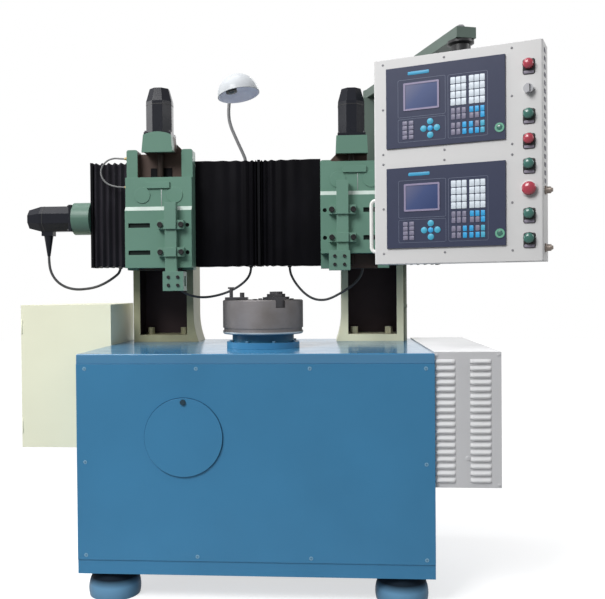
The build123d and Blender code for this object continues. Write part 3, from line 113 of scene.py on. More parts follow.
# %% A socket that can be added, multiplied and mixed
class Wire:
    """One output socket of a shader tree; arithmetic adds Math nodes and node() adds any other node."""

    def __init__(self, tree, socket=None):
        self.tree = tree
        self.socket = socket

    def node(self, kind, sockets=None, out=0, stops=None, **settings):
        """Adds a node: its settings and ramp stops first, then the values or links of its sockets."""
        made = self.tree.nodes.new(kind)
        for key, value in settings.items():
            setattr(made, key, value)
        for index, (position, colour) in enumerate(stops or ()):
            elements = made.color_ramp.elements
            stop = elements[index] if index < 2 else elements.new(position)
            stop.position = position
            stop.color = (*colour, 1)
        for key, value in (sockets or {}).items():
            if isinstance(value, Wire):
                self.tree.links.new(value.socket, made.inputs[key])
            else:
                made.inputs[key].default_value = value
        return Wire(self.tree, made.outputs[out]) if made.outputs else made

    def sum(self, operation, first, second):
        """One Math node on two values, whose result is held between 0 and 1."""
        return self.node("ShaderNodeMath", {0: first, 1: second}, operation=operation, use_clamp=True)

    def __add__(self, other):
        return self.sum("ADD", self, other)

    def __sub__(self, other):
        return self.sum("SUBTRACT", self, other)

    def __rsub__(self, other):
        return self.sum("SUBTRACT", other, self)

    def __mul__(self, other):
        return self.sum("MULTIPLY", self, other)

    def __gt__(self, other):
        return self.sum("GREATER_THAN", self, other)

    def __lt__(self, other):
        return self.sum("LESS_THAN", self, other)

    def mix(self, low, high):
        """A colour that goes from low to high as this value goes from 0 to 1."""
        low, high = (c if isinstance(c, Wire) else (*c, 1) for c in (low, high))
        return self.node("ShaderNodeMix", {0: self, 6: low, 7: high}, out=2, data_type="RGBA")

    def noise(self, scale, detail=4.0, stretch=(1, 1, 1)):
        """Cloudy noise over the object's own coordinates, stretched by a factor along each axis."""
        place = self.point()
        if stretch != (1, 1, 1):
            place = self.node("ShaderNodeMapping", {"Vector": place, "Scale": stretch})
        return self.node("ShaderNodeTexNoise", {"Vector": place, "Scale": scale, "Detail": detail})

    def point(self):
        """The surface point in the machine's frame, in metres."""
        return self.node("ShaderNodeTexCoord", out="Object")

    def place(self, axis):
        """One coordinate of the surface point."""
        return self.node("ShaderNodeSeparateXYZ", {0: self.point()}, out=axis)

    def measure(self, operation, first, second=(0, 0, 0)):
        """One number from two vectors, such as their dot product or distance."""
        return self.node("ShaderNodeVectorMath", {0: first, 1: second}, "Value", operation=operation)

    def between(self, low, high):
        """1 where this value lies between two limits, otherwise 0."""
        return (self > low) * (self < high)

    def edges(self, radius, gain=3.4):
        """1 at outer and inner edges, 0 on flats: how far a rounded normal leaves the real one."""
        rounded = self.node("ShaderNodeBevel", {"Radius": radius}, samples=4)
        flat = self.node("ShaderNodeNewGeometry", out="Normal")
        return (1 - self.measure("DOT_PRODUCT", rounded, flat)) * gain

    def bump(self, distance, strength=1.0, edge=0.0):
        """A normal from this height, over edges that are rounded by a radius where one is given."""
        sockets = {"Height": self, "Distance": distance, "Strength": strength}
        if edge:
            sockets["Normal"] = self.node("ShaderNodeBevel", {"Radius": edge}, samples=4)
        return self.node("ShaderNodeBump", sockets)


def finish(name):
    """A new material: returns it, a Wire to start from, and its empty Principled shader's sockets."""
    material = bpy.data.materials.new(name)
    material.use_nodes = True
    tree = material.node_tree
    return material, Wire(tree), tree.nodes["Principled BSDF"].inputs


def wire_up(inputs, **values):
    """Sets or links Principled sockets; base_color stands for Base Color and so on."""
    for key, value in values.items():
        socket = inputs[key.replace("_", " ").title().replace("Ior", "IOR")]
        if isinstance(value, Wire):
            value.tree.links.new(value.socket, socket)
        else:
            socket.default_value = value


def shade(colour, factor):
    """A colour made lighter or darker by a factor."""
    return tuple(min(1.0, channel * factor) for channel in colour)


print("shader helpers ready")

# %% [markdown]
# ## Painted metal
# Most of the machine is cast iron or sheet steel under brushed or sprayed enamel. A single flat colour
# looks like plastic, so the paint drifts a little in tone, gathers grime in large soft patches, has a fine
# orange peel, and is lighter along edges, as rubbed paint and on the black motors as a painted highlight.
# A Bevel node rounds sharp CAD edges.

# %% Enamel finishes
tone_scale, grime_scale, wear_scale, gloss_scale, peel_scale = 4.0, 2.3, 60.0, 9.0, 420.0
grime_tone, edge_wear_and_sheen_tone, peel_height = 0.55, 1.9, 0.25 * mm
grime_gain, gloss_spread = 2.2, 0.16


def enamel(
    name, colour, gloss=0.38, drift=0.10, grime=0.25, rub=0.35, peel=0.10, edge=2 * mm, specular=0.25
):
    """Paint: colour drifts by noise, darkens in patches and lightens along edges; peel is a fine bump."""
    material, start, inputs = finish(name)
    tone = start.noise(tone_scale).mix(shade(colour, 1 - drift), shade(colour, 1 + drift))
    dirt = (start.noise(grime_scale, 8.0) - 0.5) * grime_gain * grime
    dirty = dirt.mix(tone, shade(colour, grime_tone))
    worn = start.edges(edge) * start.noise(wear_scale) * rub
    wire_up(
        inputs,
        base_color=worn.mix(dirty, shade(colour, edge_wear_and_sheen_tone)),
        specular_ior_level=specular,
        roughness=start.noise(gloss_scale) * gloss_spread + (gloss - gloss_spread / 2),
        normal=start.noise(peel_scale, 2.0).bump(peel_height, peel, edge),
    )
    return material


blue = (0.044, 0.195, 0.360)
cream = (0.82, 0.82, 0.63)
green = (0.125, 0.235, 0.180)
warm_white = (0.60, 0.595, 0.59)
finishes = {
    "blue_paint": enamel("blue enamel", blue, gloss=0.36),
    "dark_blue_paint": enamel("dark blue enamel", (0.060, 0.165, 0.265), gloss=0.28),
    "cream_paint": enamel("cream enamel", cream, gloss=0.42, drift=0.05, rub=0.15),
    "green_paint": enamel("green enamel", green, gloss=0.40),
    "grey_paint": enamel("grey sheet enamel", (0.60, 0.60, 0.61), gloss=0.45, drift=0.05),
    "beige_paint": enamel("powder coat", warm_white, gloss=0.48, drift=0.04, grime=0.12, rub=0.1),
    # On the black motors the enamel's lighter edges are a painted highlight on the chamfers.
    "black_motor": enamel("black motor paint", (0.012, 0.013, 0.018), gloss=0.26, peel=0.02, specular=0.12),
    "lamp_white": enamel("white lamp enamel", (0.48, 0.50, 0.52), gloss=0.30, drift=0.03, grime=0.1),
    "lamp_neck": enamel("grey tube", (0.17, 0.17, 0.175), gloss=0.40, peel=0.3),
    "gear_grey": enamel("switchgear grey", (0.45, 0.46, 0.45), gloss=0.5),
}
print("enamels", len(finishes))

# %% [markdown]
# ## Steel, cloth and plastic
# Turned and ground steel shows fine lines along the tool's path, so its noise is stretched along one axis.
# The bellows are coated cloth with a faint weave. Plastic parts are smooth, with only a slight unevenness.

# %% Metals
line_scale, stain_scale, line_height, steel_edge = 90.0, 7.0, 0.1 * mm, 1.5 * mm


def steel(name, colour, rough, stretch, stain=(0.10, 0.08, 0.06), stained=0.4):
    """Bare metal: stretched noise for tool lines, brown-grey stains in patches, brighter edges."""
    material, start, inputs = finish(name)
    lines = start.noise(line_scale, 3.0, stretch)
    tone = lines.mix(shade(colour, 0.8), shade(colour, 1.15))
    stains = (start.noise(stain_scale, 7.0) - 0.45) * 2.0 * stained
    edge = start.edges(steel_edge) * 0.5
    wire_up(
        inputs,
        base_color=edge.mix(stains.mix(tone, stain), shade(colour, 1.8)),
        metallic=0.85,
        roughness=lines * 0.25 + (rough - 0.12) + stains * 0.3,
        normal=lines.bump(line_height, 0.25, 1.0 * mm),
    )
    return material


finishes["bare_steel"] = steel("ground steel", (0.50, 0.50, 0.50), 0.34, (1, 1, 12))
finishes["chuck_steel"] = steel(
    "worn turned steel", (0.195, 0.185, 0.19), 0.46, (0.3, 0.3, 14), stained=0.9
)
finishes["dark_steel"] = steel("blackened steel", (0.055, 0.055, 0.060), 0.45, (4, 4, 4), stained=0.2)
finishes["pulley_iron"] = steel("machined iron", (0.25, 0.25, 0.25), 0.45, (1, 1, 14))
finishes["zinc_steel"] = steel("zinc plate", (0.66, 0.66, 0.64), 0.32, (3, 3, 3), stained=0.2)
print("metals", len(finishes))


# %% Plastics, rubber and cloth
drift_scale, shine_scale, grain_scale, grain_height = 30.0, 55.0, 900.0, 0.08 * mm
weave_scale, weave_height, dust_scale = 160.0, 0.2 * mm, 6.0


def plastic(name, colour, gloss=0.35, drift=0.06, coat=0.0, specular=0.3):
    """Moulded plastic: a faint drift in tone and a fine grain."""
    material, start, inputs = finish(name)
    wire_up(
        inputs,
        base_color=start.noise(drift_scale).mix(shade(colour, 1 - drift), shade(colour, 1 + drift)),
        roughness=start.noise(shine_scale) * 0.12 + (gloss - 0.06),
        normal=start.noise(grain_scale, 2.0).bump(grain_height, 0.15),
        specular_ior_level=specular,
        coat_weight=coat,
    )
    return material


def bellows_cloth(name, colour, specular=0.10):
    """Coated cloth: two crossed waves give the weave, dust lies lighter in patches."""
    material, start, inputs = finish(name)
    wave = {"Vector": start.point(), "Scale": weave_scale}
    waves = [
        start.node("ShaderNodeTexWave", wave, out="Fac", bands_direction=axis) for axis in ("X", "Z")
    ]
    dust = (start.noise(dust_scale, 6.0, (3, 1, 1)) - 0.42) * 1.6
    wire_up(
        inputs,
        base_color=dust.mix(colour, shade(colour, 2.2)),
        specular_ior_level=specular,
        roughness=start.noise(20.0) * 0.2 + 0.42,
        normal=(waves[0] * waves[1]).bump(weave_height, 0.3),
    )
    return material


finishes["belt_rubber"] = plastic("belt rubber", (0.020, 0.020, 0.021), gloss=0.6)
finishes["bellows_cloth"] = bellows_cloth("bellows cloth", (0.0150, 0.0138, 0.0175))
finishes["unit_plastic"] = plastic("navy panel foil", (0.031, 0.037, 0.071), gloss=0.46, specular=0.2)
finishes["white_handle"] = plastic("white plastic", (0.72, 0.72, 0.69), gloss=0.32)
finishes["red_plastic"] = plastic("red plastic", (0.34, 0.022, 0.045), gloss=0.25, coat=0.5)
finishes["green_plastic"] = plastic("green plastic", (0.020, 0.115, 0.090), gloss=0.25, coat=0.5)
finishes["cable_black"] = plastic("cable sheath", (0.058, 0.058, 0.060), gloss=0.5)
finishes["silver_plastic"] = plastic("silver plastic", (0.40, 0.40, 0.42), gloss=0.25, coat=0.4)
print("with plastics and cloth", len(finishes))

# %% [markdown]
# The lamp bulb is frosted grey glass, switched off. Real glass could transmit light, but a frosted bulb
# mostly scatters it, so a slightly clear shader is closer and renders with less noise.

# %% Frosted bulb
frosted, frosted_start, frosted_inputs = finish("frosted bulb")
wire_up(
    frosted_inputs,
    base_color=frosted_start.noise(40.0).mix((0.17, 0.18, 0.20), (0.22, 0.23, 0.25)),
    roughness=frosted_start.noise(60.0) * 0.1 + 0.2,
    transmission_weight=0.15,
)
finishes["bulb_glass"] = frosted
print("finishes", len(finishes))

# %% [markdown]
# ## Finishes on the CAD nodes
# The record says which slot each node takes. Some nodes get more than one finish: the columns are dark
# inside, from brown primer and painted shade; the saddles have a brown recess; the slides have a painted
# highlight on their ledge and painted shade in their slots. A mask worked out from the surface point's own
# place keeps those borders exact without cutting the CAD mesh.

# %% A second finish inside a mask
def relit(material, mask_of, colour, rough):
    """Lays a second colour and roughness over a finish, where the mask made from its Wire is 1."""
    tree = material.node_tree
    shader = tree.nodes["Principled BSDF"]
    start = Wire(tree)
    mask = mask_of(start)
    old_colour = Wire(tree, shader.inputs["Base Color"].links[0].from_socket)
    old_rough = Wire(tree, shader.inputs["Roughness"].links[0].from_socket)
    spots = start.noise(14.0, 6.0).mix(shade(colour, 0.75), shade(colour, 1.3))
    wire_up(
        shader.inputs,
        base_color=mask.mix(old_colour, spots),
        roughness=old_rough * (1 - mask) + mask * rough,
    )
    return material


def apart(start, value, centre):
    """How far a value lies from a middle one, either way."""
    away = start.node("ShaderNodeMath", {0: value, 1: centre}, operation="SUBTRACT")
    return start.sum("ABSOLUTE", away, 0.0)


def off_centre(start, axis, centre):
    """How far the surface point lies from a value along one axis, either way."""
    return apart(start, start.place(axis), centre)


print("mask helpers ready")

# %% Masks for the columns
column_low, column_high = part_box("columns")
column_wall, column_half, column_centre = 16 * mm, 132 * mm, 0.452
window_sill = column_low.z + 30.5 * mm
nut_spread, nut_half, nut_top = 75 * mm, 18 * mm, 62 * mm
skin = 1 * mm


def from_column(start):
    """How far the surface point lies from the middle of the nearer column, either way."""
    return apart(start, start.sum("ABSOLUTE", start.place("X"), 0.0), column_centre)


def on_nuts(start):
    """On the painted hold-down nuts inside the columns."""
    near_x = apart(start, from_column(start), nut_spread) < nut_half
    near_y = off_centre(start, "Y", middle("columns")[1]) < nut_half
    return near_x * near_y * (start.place("Z") < column_low.z + nut_top)


def inside_column(start):
    """Within the hollow of either column: behind the front wall, between the side walls, over the sill."""
    between = from_column(start) < column_half - column_wall + 2 * skin
    behind = start.place("Y").between(column_low.y + skin, column_high.y - skin)
    hollow = between * behind * start.place("Z").between(window_sill, column_high.z - skin)
    return hollow * (1 - on_nuts(start))


def on_conduit(start):
    """On the conduit that is clipped to the outer side of the right column."""
    return start.place("X") > column_centre + column_half + skin / 2


def on_left(start):
    """On the left half of the machine."""
    return start.place("X") < 0.0


print("column window sill at", round(window_sill, 4))

# %% Masks for beam, spindle, cover and feet
chuck_low, chuck_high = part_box("chuck_body")
chuck_lip = 9 * mm
flange_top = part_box("base_top_plate")[1].z + 23 * mm
beam_half = 0.7045
frame_centre, frame_half = -0.015, 5.5 * mm
pivot_place, pivot_reach = (-0.246, 0.7085), 20 * mm
foot_shade_low, foot_shade_rise = 42 * mm, 26 * mm


def on_frames(start):
    """On the black end and centre frames of the beam."""
    return (off_centre(start, "X", 0.0) > beam_half) + (off_centre(start, "X", frame_centre) < frame_half)


def on_neck(start):
    """On the spindle neck, above its flange."""
    return start.place("Z") > flange_top + skin


def on_chuck_lip(start):
    """On the lower lip of the chuck, which is painted lighter."""
    return start.place("Z") < chuck_low.z + chuck_lip


def turned_edge_shade(start):
    """Rises from 0 to 1 where a round side turns away from the eye: a mask for painted shade on round
    sides.
    """
    return start.node("ShaderNodeLayerWeight", {"Blend": 0.30}, out="Facing")


def on_pivot(start):
    """On the dark screw that the inspection cover swings on."""
    near_x = off_centre(start, "X", pivot_place[0]) < pivot_reach
    return near_x * (off_centre(start, "Z", pivot_place[1]) < pivot_reach)


def under_base(start):
    """Rises from 0 at the belly of a foot to 1 near its top, which lies in the shade of the base."""
    return (start.place("Z") - foot_shade_low) * (1 / foot_shade_rise)


print("spindle flange top at", round(flange_top, 4))

# %% Masks for the lamp
lean, tilt = math.radians(9.6), math.radians(6)
lamp_along = np.array([math.cos(lean), 0, math.sin(lean)])
lamp_up = np.array([-math.sin(lean) * math.cos(tilt), math.sin(tilt), math.cos(lean) * math.cos(tilt)])
lamp_pivot, rim_drop = np.array([-0.112, 0.088, 1.996]), 95 * mm
rim_centre = lamp_pivot - rim_drop * lamp_up
socket_low = float(rim_centre @ lamp_up) + 15.6 * mm
shade_inside = 84.6 * mm
shade_glow = (0.085, 0.092, 0.128)


def on_socket(start):
    """On the lamp's dark socket, which starts above the tip of the bulb."""
    height = start.measure("DOT_PRODUCT", start.point(), lamp_up)
    return start.node("ShaderNodeMath", {0: height, 1: socket_low}, operation="GREATER_THAN")


def inside_shade(start):
    """On the inner side of the lamp's shade, nearer to the middle of its rim than the outer side."""
    return start.measure("DISTANCE", start.point(), rim_centre) < shade_inside


def lit_through(material, mask_of):
    """A faint glow inside a mask, for the room light that a thin white shade lets through."""
    shader = material.node_tree.nodes["Principled BSDF"]
    glow = mask_of(Wire(material.node_tree)).mix((0, 0, 0), shade_glow)
    wire_up(shader.inputs, emission_color=glow, emission_strength=1.0)
    return material


print("lamp rim at", np.round(rim_centre, 3))

# %% Finishes of single nodes
dull_cream, shaded_cream = (0.76, 0.74, 0.53), (0.30, 0.29, 0.18)
column_paint = enamel("column cream", dull_cream, gloss=0.42, grime=0.4)
# The left column is painted darker than the right: painted shade from the left head in front of it.
column_paint = relit(column_paint, on_left, shaded_cream, 0.42)
column_paint = relit(column_paint, on_conduit, (0.24, 0.255, 0.205), 0.55)
arm_paint = enamel("arm green", (0.088, 0.120, 0.102), gloss=0.44)
# Foot blue: the feet's paint lightened as a painted highlight across the belly; painted shade darkens their
# sides where they turn away from the eye.
foot_paint = enamel("foot blue", (0.130, 0.285, 0.44), gloss=0.30, rub=0.0, specular=0.10)
foot_paint = relit(foot_paint, turned_edge_shade, (0.022, 0.045, 0.070), 0.5)
cover_screw = enamel("painted screw", (0.19, 0.36, 0.50), gloss=0.40)
# Painted shade darkens the chuck's round side where it turns away from the eye.
chuck_side = relit(finishes["chuck_steel"], turned_edge_shade, (0.045, 0.042, 0.045), 0.6)
lamp_paint = enamel("shade enamel", (0.48, 0.50, 0.52), gloss=0.30, drift=0.03, grime=0.1)
own_finish = {
    # Inside the columns: brown primer, darkened further as painted shade in the hollow.
    "columns": relit(column_paint, inside_column, (0.030, 0.017, 0.019), 0.6),
    "cross_beam": relit(enamel("beam green", green, specular=0.1), on_frames, (0.004, 0.004, 0.005), 0.8),
    # The neck is darker than the flange: partly darker paint, partly painted shade under the chuck.
    "spindle_housing": relit(enamel("flange blue", blue), on_neck, (0.012, 0.095, 0.170), 0.4),
    "chuck_body": relit(chuck_side, on_chuck_lip, (0.34, 0.38, 0.41), 0.45),
    "front_cover_screws": relit(cover_screw, on_pivot, (0.012, 0.035, 0.055), 0.5),
    "levelling_feet": relit(foot_paint, under_base, (0.006, 0.012, 0.020), 0.8),
    "swing_arm": arm_paint,
    "arm_post": arm_paint,
    # The Z screws are painted dark brown: painted shade in the saddle's recess.
    "left_z_screw": enamel("recess shaded screw", (0.030, 0.022, 0.018), gloss=0.5, specular=0.1),
    "base_top_plate": enamel("top plate blue", blue, gloss=0.16, specular=0.5),
    "x_motor_adapters": enamel("adapter green", shade(green, 0.68)),
    # The inside of the shade is painted lighter than the outside and glows faintly: painted light.
    "lamp_shade": lit_through(relit(lamp_paint, inside_shade, (0.86, 0.88, 0.97), 0.5), inside_shade),
    "lamp_bulb": relit(finishes["bulb_glass"], on_socket, (0.020, 0.020, 0.022), 0.5),
}
own_finish["right_z_screw"] = own_finish["left_z_screw"]
print("own finishes", len(own_finish))

# %% Masks for saddles and slides
recess_front, recess_back = 2 * mm, 60 * mm
slot_levels, slot_half, slot_reach = (61 * mm, 170 * mm), 9.5 * mm, 22 * mm


def recess_mask(side):
    """A mask for the recess of one saddle: behind the rib fronts, not on the outer sides."""
    low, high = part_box(f"{side}_saddle")

    def in_recess(start):
        within = off_centre(start, "X", (low.x + high.x) / 2) < (high.x - low.x) / 2 - skin
        return within * start.place("Y").between(recess_front, recess_back)

    return in_recess


def on_lit_ledge(start):
    """On the sloped ledge of a slide, where the normal leans up and forward: the place of a painted
    highlight.
    """
    normal = start.node("ShaderNodeNewGeometry", out="Normal")
    return start.node("ShaderNodeSeparateXYZ", {0: normal}, out="Z").between(0.4, 0.8)


def slot_mask(side):
    """A mask for the clamping slots and holes of one slide: behind its front, at the two slot levels."""
    low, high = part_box(f"{side}_slide")

    def in_slots(start):
        behind = start.place("Y").between(low.y + skin, low.y + slot_reach)
        within = off_centre(start, "X", (low.x + high.x) / 2) < (high.x - low.x) / 2 - skin
        bands = [off_centre(start, "Z", low.z + level) < slot_half for level in slot_levels]
        return behind * within * (bands[0] + bands[1])

    return in_slots


for side in ("left", "right"):
    slide_green = enamel(f"{side} slide green", shade(green, 1.02), grime=0.45, specular=0.12)
    # The ledge faces up and is painted lighter: a painted highlight.
    slide_paint = relit(slide_green, on_lit_ledge, (0.45, 0.52, 0.48), 0.3)
    # The slots and holes are painted near black: painted shade inside them.
    own_finish[f"{side}_slide"] = relit(slide_paint, slot_mask(side), (0.006, 0.013, 0.011), 0.5)
    saddle_paint = enamel(f"{side} saddle green", shade(green, 0.93), grime=0.45, specular=0.15)
    own_finish[f"{side}_saddle"] = relit(saddle_paint, recess_mask(side), (0.068, 0.045, 0.037), 0.55)
for part in frame["record"]["subparts"]:
    node = nodes[part["node"]]
    node.data.materials.clear()
    node.data.materials.append(own_finish.get(part["node"], finishes[part["material_slot"]]))

# %% [markdown]
# ## Cables
# Four flexible lines hang free: the cable of the left feed motor, two loops under the beam, and the thin
# oil line of the left head. A cable could be a mesh tube, but a NURBS curve with the route's points as
# control points stays smooth at any zoom, and its bevel gives it thickness.

# %% Cables as NURBS curves
def cable(name, node, start, route, diameter, length, body, lay, sheath):
    """A curve through a route of offsets from its start, given in millimetres, round in section."""
    points = np.array(start) + mm * np.array(route)
    curve = bpy.data.curves.new(name, "CURVE")
    curve.dimensions = "3D"
    spline = curve.splines.new("NURBS")
    spline.points.add(len(points) - 1)
    spline.points.foreach_set("co", np.c_[points, np.ones(len(points))].ravel())
    spline.order_u = 3
    spline.use_endpoint_u = True
    spline.resolution_u = 8
    curve.bevel_depth = diameter / 2
    curve.bevel_resolution = 4
    curve.use_fill_caps = True
    curve.materials.append(sheath)
    made = bpy.data.objects.new(name, curve)
    bpy.context.scene.collection.objects.link(made)
    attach(made, body)
    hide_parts(node)
    print(name, "length", length, "m")


hanging = {"body": "machine", "lay": "hanging", "sheath": finishes["cable_black"]}
oil_grey = plastic("oil tube grey", (0.15, 0.15, 0.15), gloss=0.4)
oil_start, oil_drop = (-0.547, 0.018, 1.640), 116 * mm
motor_cable_route = [
    (0, 0, 0), (0, 0, -34), (8, 3, -72), (29, 7, -106), (62, 13, -130), (103, 20, -141),
    (139, 35, -140), (183, 43, -133), (221, 51, -117), (257, 58, -94), (289, 63, -67), (289, 63, -40),
]
left_loop_route = [
    (0, 0, 0), (0, 0, -31), (-17, 1, -64), (-52, 2, -93), (-96, 3, -116), (-144, 4, -131), (-194, 5, -139),
    (-241, 5, -136), (-284, 4, -120), (-320, 3, -94), (-346, 2, -62), (-361, 0, -30), (-361, 0, 0),
]
right_loop_route = [
    (0, 0, 0), (0, 0, -32), (15, 1, -67), (38, 2, -100), (68, 3, -131), (104, 4, -151), (143, 4, -154),
    (174, 3, -145), (207, 2, -128), (240, 1, -108), (270, 1, -86), (293, 0, -60), (305, 0, -32),
    (305, 0, 0),
]
oil_route = [
    (0, 0, 0), (-25, 0, 0), (-57, 1, 4), (-86, 2, -5), (-107, 3, -27), (-114, 3, -54), (-105, 2, -82),
    (-83, 1, -103), (-54, 0, -112), (-26, 0, -116), (0, 0, -116),
]
cable(
    "motor_cable", "left_motor_cable", (-0.905, 0.089, 1.250), motor_cable_route,
    diameter=11 * mm, length=0.432, **hanging,
)
cable(
    "left_loop", "left_hanging_cable", (-0.058, 0.152, 1.210), left_loop_route,
    diameter=10 * mm, length=0.505, **hanging,
)
cable(
    "right_loop", "right_hanging_cable", (0.104, 0.152, 1.210), right_loop_route,
    diameter=10 * mm, length=0.474, **hanging,
)
cable(
    "oil_line", "left_oil_line", oil_start, oil_route,
    diameter=7 * mm, length=0.287, body="left_carriage", lay="loose", sheath=oil_grey,
)

# %% [markdown]
# ## Shapes from formulas
# Small parts such as screws, keys and hinges are all either turned on a lathe or pressed from a rounded
# rectangle. Each is a profile carried round an outline: a grid of points worked out at once with numpy, and
# quads between neighbours. A shape here is a pair, its points and a list of face arrays.

# %% Profiles carried round an outline
def carried(outline_of, profile, closed):
    """Points outline_of(inset) at each (inset, level) of a profile; caps close it unless it is a ring."""
    rows = [np.c_[outline_of(inset), np.full(len(outline_of(inset)), level)] for inset, level in profile]
    grid = np.stack(rows)
    count, steps = grid.shape[:2]
    index = np.arange(count * steps).reshape(count, steps)
    if closed:
        index = np.vstack([index, index[:1]])
    low, high = index[:-1], index[1:]
    sides = np.stack([low, np.roll(low, -1, 1), np.roll(high, -1, 1), high], axis=-1).reshape(-1, 4)
    faces = [sides]
    if not closed:
        faces += [index[:1, ::-1], index[-1:]]
    return grid.reshape(-1, 3), faces


def in_mm(*pairs):
    """The points of a profile, given in millimetres."""
    return [(across * mm, level * mm) for across, level in pairs]


def turned(profile, steps=24, closed=False):
    """A lathe shape: each (radius, level) of the profile, from the bottom up, swept round the axis."""
    angle = np.arange(steps) * 2 * math.pi / steps
    circle = np.stack([np.cos(angle), np.sin(angle)], axis=1)
    return carried(lambda radius: radius * circle, profile, closed)


def pressed(width, height, corner, profile, steps=4, closed=False):
    """A rounded rectangle: at each (inset, level) its sides move in and its corner arcs shrink."""
    angle = np.arange(4)[:, None] * math.pi / 2 + np.linspace(0, math.pi / 2, steps)
    side = np.array([[1, 1], [-1, 1], [-1, -1], [1, -1]])
    arc = np.stack([np.cos(angle), np.sin(angle)], axis=-1)

    def outline(inset):
        radius = max(corner - inset, 0.1 * mm)
        reach = np.array([width, height]) / 2 - inset - radius
        return (side[:, None] * reach + radius * arc).reshape(-1, 2)

    return carried(outline, profile, closed)


def soft_block(width, height, thickness, corner=2 * mm, edge=1 * mm):
    """A rounded rectangle of a thickness whose front edge is rounded off."""
    return pressed(
        width, height, corner,
        [(0, 0), (0, thickness - edge), (0.3 * edge, thickness - 0.3 * edge), (edge, thickness)],
    )


def border(width, height, corner, band, thickness):
    """A flat ring that follows a rounded rectangle, band wide."""
    section = [(0, 0), (0, thickness), (band, thickness), (band, 0)]
    return pressed(width, height, corner, section, closed=True)


def slab(front, back):
    """A closed sheet between two grids of points with the same rows and columns."""
    rows, columns = front.shape[:2]
    index = np.arange(rows * columns).reshape(rows, columns)
    corners = [index[:-1, :-1], index[:-1, 1:], index[1:, 1:], index[1:, :-1]]
    quads = np.stack(corners, axis=-1).reshape(-1, 4)
    loop = np.r_[index[0], index[1:, -1], index[-1, -2::-1], index[-2:0:-1, 0]]
    after = np.roll(loop, -1)
    far = rows * columns
    rim = np.stack([after, loop, loop + far, after + far], axis=-1)
    return np.concatenate([front, back]).reshape(-1, 3), [quads, quads[:, ::-1] + far, rim]


print("shape helpers ready")


# %% Copies, seats and pieces
def copies(shape, spots):
    """The shape repeated at each (x, y, z) spot."""
    points, faces = shape
    spots = np.atleast_2d(np.array(spots, float))
    shift = np.arange(len(spots)) * len(points)
    moved = (spots[:, None] + points).reshape(-1, 3)
    return moved, [(shift[:, None, None] + part).reshape(-1, part.shape[1]) for part in faces]


def joined(*shapes):
    """Several shapes as one, with their face numbers moved on."""
    starts = np.cumsum([0] + [len(points) for points, _ in shapes])
    faces = [part + start for (_, parts), start in zip(shapes, starts) for part in parts]
    return np.concatenate([points for points, _ in shapes]), faces


def seated(shape, origin, along, out):
    """Moves a shape from its own axes to a seat: x runs along, z points out, y completes the hand."""
    along, out = (np.array(axis, float) / np.linalg.norm(axis) for axis in (along, out))
    axes = np.stack([along, np.cross(out, along), out])
    return shape[0] @ axes + np.array(origin, float), shape[1]


def piece(name, shape, material, body=None, smooth_below=35):
    """A mesh object at the origin, made from a shape, that rides on a body."""
    points, faces = shape
    mesh = bpy.data.meshes.new(name)
    mesh.from_pydata(points.tolist(), [], [face for part in faces for face in part.tolist()])
    mesh.polygons.foreach_set("use_smooth", np.ones(len(mesh.polygons), bool))
    mesh.set_sharp_from_angle(angle=math.radians(smooth_below))
    mesh.materials.append(material)
    made = bpy.data.objects.new(name, mesh)
    bpy.context.scene.collection.objects.link(made)
    if body:
        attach(made, body)
    print(name, "faces", len(mesh.polygons))
    return made


def plain_piece(name, shape, slot, body="machine"):
    """A piece in the plain finish of its slot."""
    return piece(name, shape, finishes[slot], body)


def cap_screw(diameter, height):
    """A socket screw head: chamfered rim and a shallow hollow for the key."""
    r, well = diameter / 2, diameter / 4
    rim = [(r, 0), (r, 0.85 * height), (0.9 * r, height)]
    return turned(rim + [(1.1 * well, height), (well, 0.9 * height)], steps=16)


def hex_head(diameter, height):
    """A six-sided bolt head with a round chamfer."""
    r = diameter / 2
    return turned([(r, 0), (r, 0.8 * height), (0.86 * r, height)], steps=6)


steps_x, steps_y, steps_z = np.eye(3)
front_out, back_out = -steps_y, steps_y
print("piece helpers ready")

# %% [markdown]
# ## Bellows
# Four bellows of coated cloth keep chips off the beam. They are folded: the cloth zigzags between an outer
# and an inner outline. A flat box with a bump would show no folds at its edge, so the surface itself goes
# from the outer to the inner section and back along the beam. Each spans from its end on the beam to its
# head.

# %% Folded cloth between two sections
beam_low, beam_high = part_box("bellows_left")
fold_depth, fold_depth_top, cloth = 13 * mm, 7 * mm, 1.2 * mm
fold_steps, fold_gain, fold_cut = 8, 1.25, 0.12


def channel(front, bottom, top, back, corner=6 * mm, steps=5):
    """The outline of the bellows' section: under, in front of and over the beam, with round corners."""
    turn = np.linspace(0, math.pi / 2, steps)
    along, across = corner * np.cos(turn), corner * np.sin(turn)
    low = np.stack([front + corner - across, bottom + corner - along], axis=1)
    high = np.stack([front + corner - along, top - corner + across], axis=1)
    return np.vstack([[[back, bottom]], low, high, [[back, top]]])


def folded(start, end, folds, crowd, slack):
    """A wave along x moves the section from its outer to its inner outline and back. Folds crowd at the
    start when crowd is above 1, and get shallower towards the end by the share slack."""
    along = np.linspace(0, 1, folds * fold_steps + 1)
    zigzag = np.abs((along * folds + 0.5) % 1 * 2 - 1)
    wave = np.clip(zigzag * fold_gain - fold_cut, 0, 1)
    depth = (1 - wave) * (1 - slack * along)
    x = start + (end - start) * along**crowd

    def sheet(deeper):
        outer = channel(beam_low.y + deeper, beam_low.z + deeper, beam_high.z - deeper, beam_high.y)
        inner = channel(
            beam_low.y + fold_depth + deeper, beam_low.z + fold_depth_top + deeper,
            beam_high.z - fold_depth_top - deeper, beam_high.y,
        )
        section = outer[None] + depth[:, None, None] * (inner - outer)[None]
        places = np.broadcast_to(x[:, None, None], section[..., :1].shape)
        return np.concatenate([places, section], axis=-1)

    front, back = sheet(0), sheet(cloth)
    return slab(front, back) if end < start else slab(front[:, ::-1], back[:, ::-1])


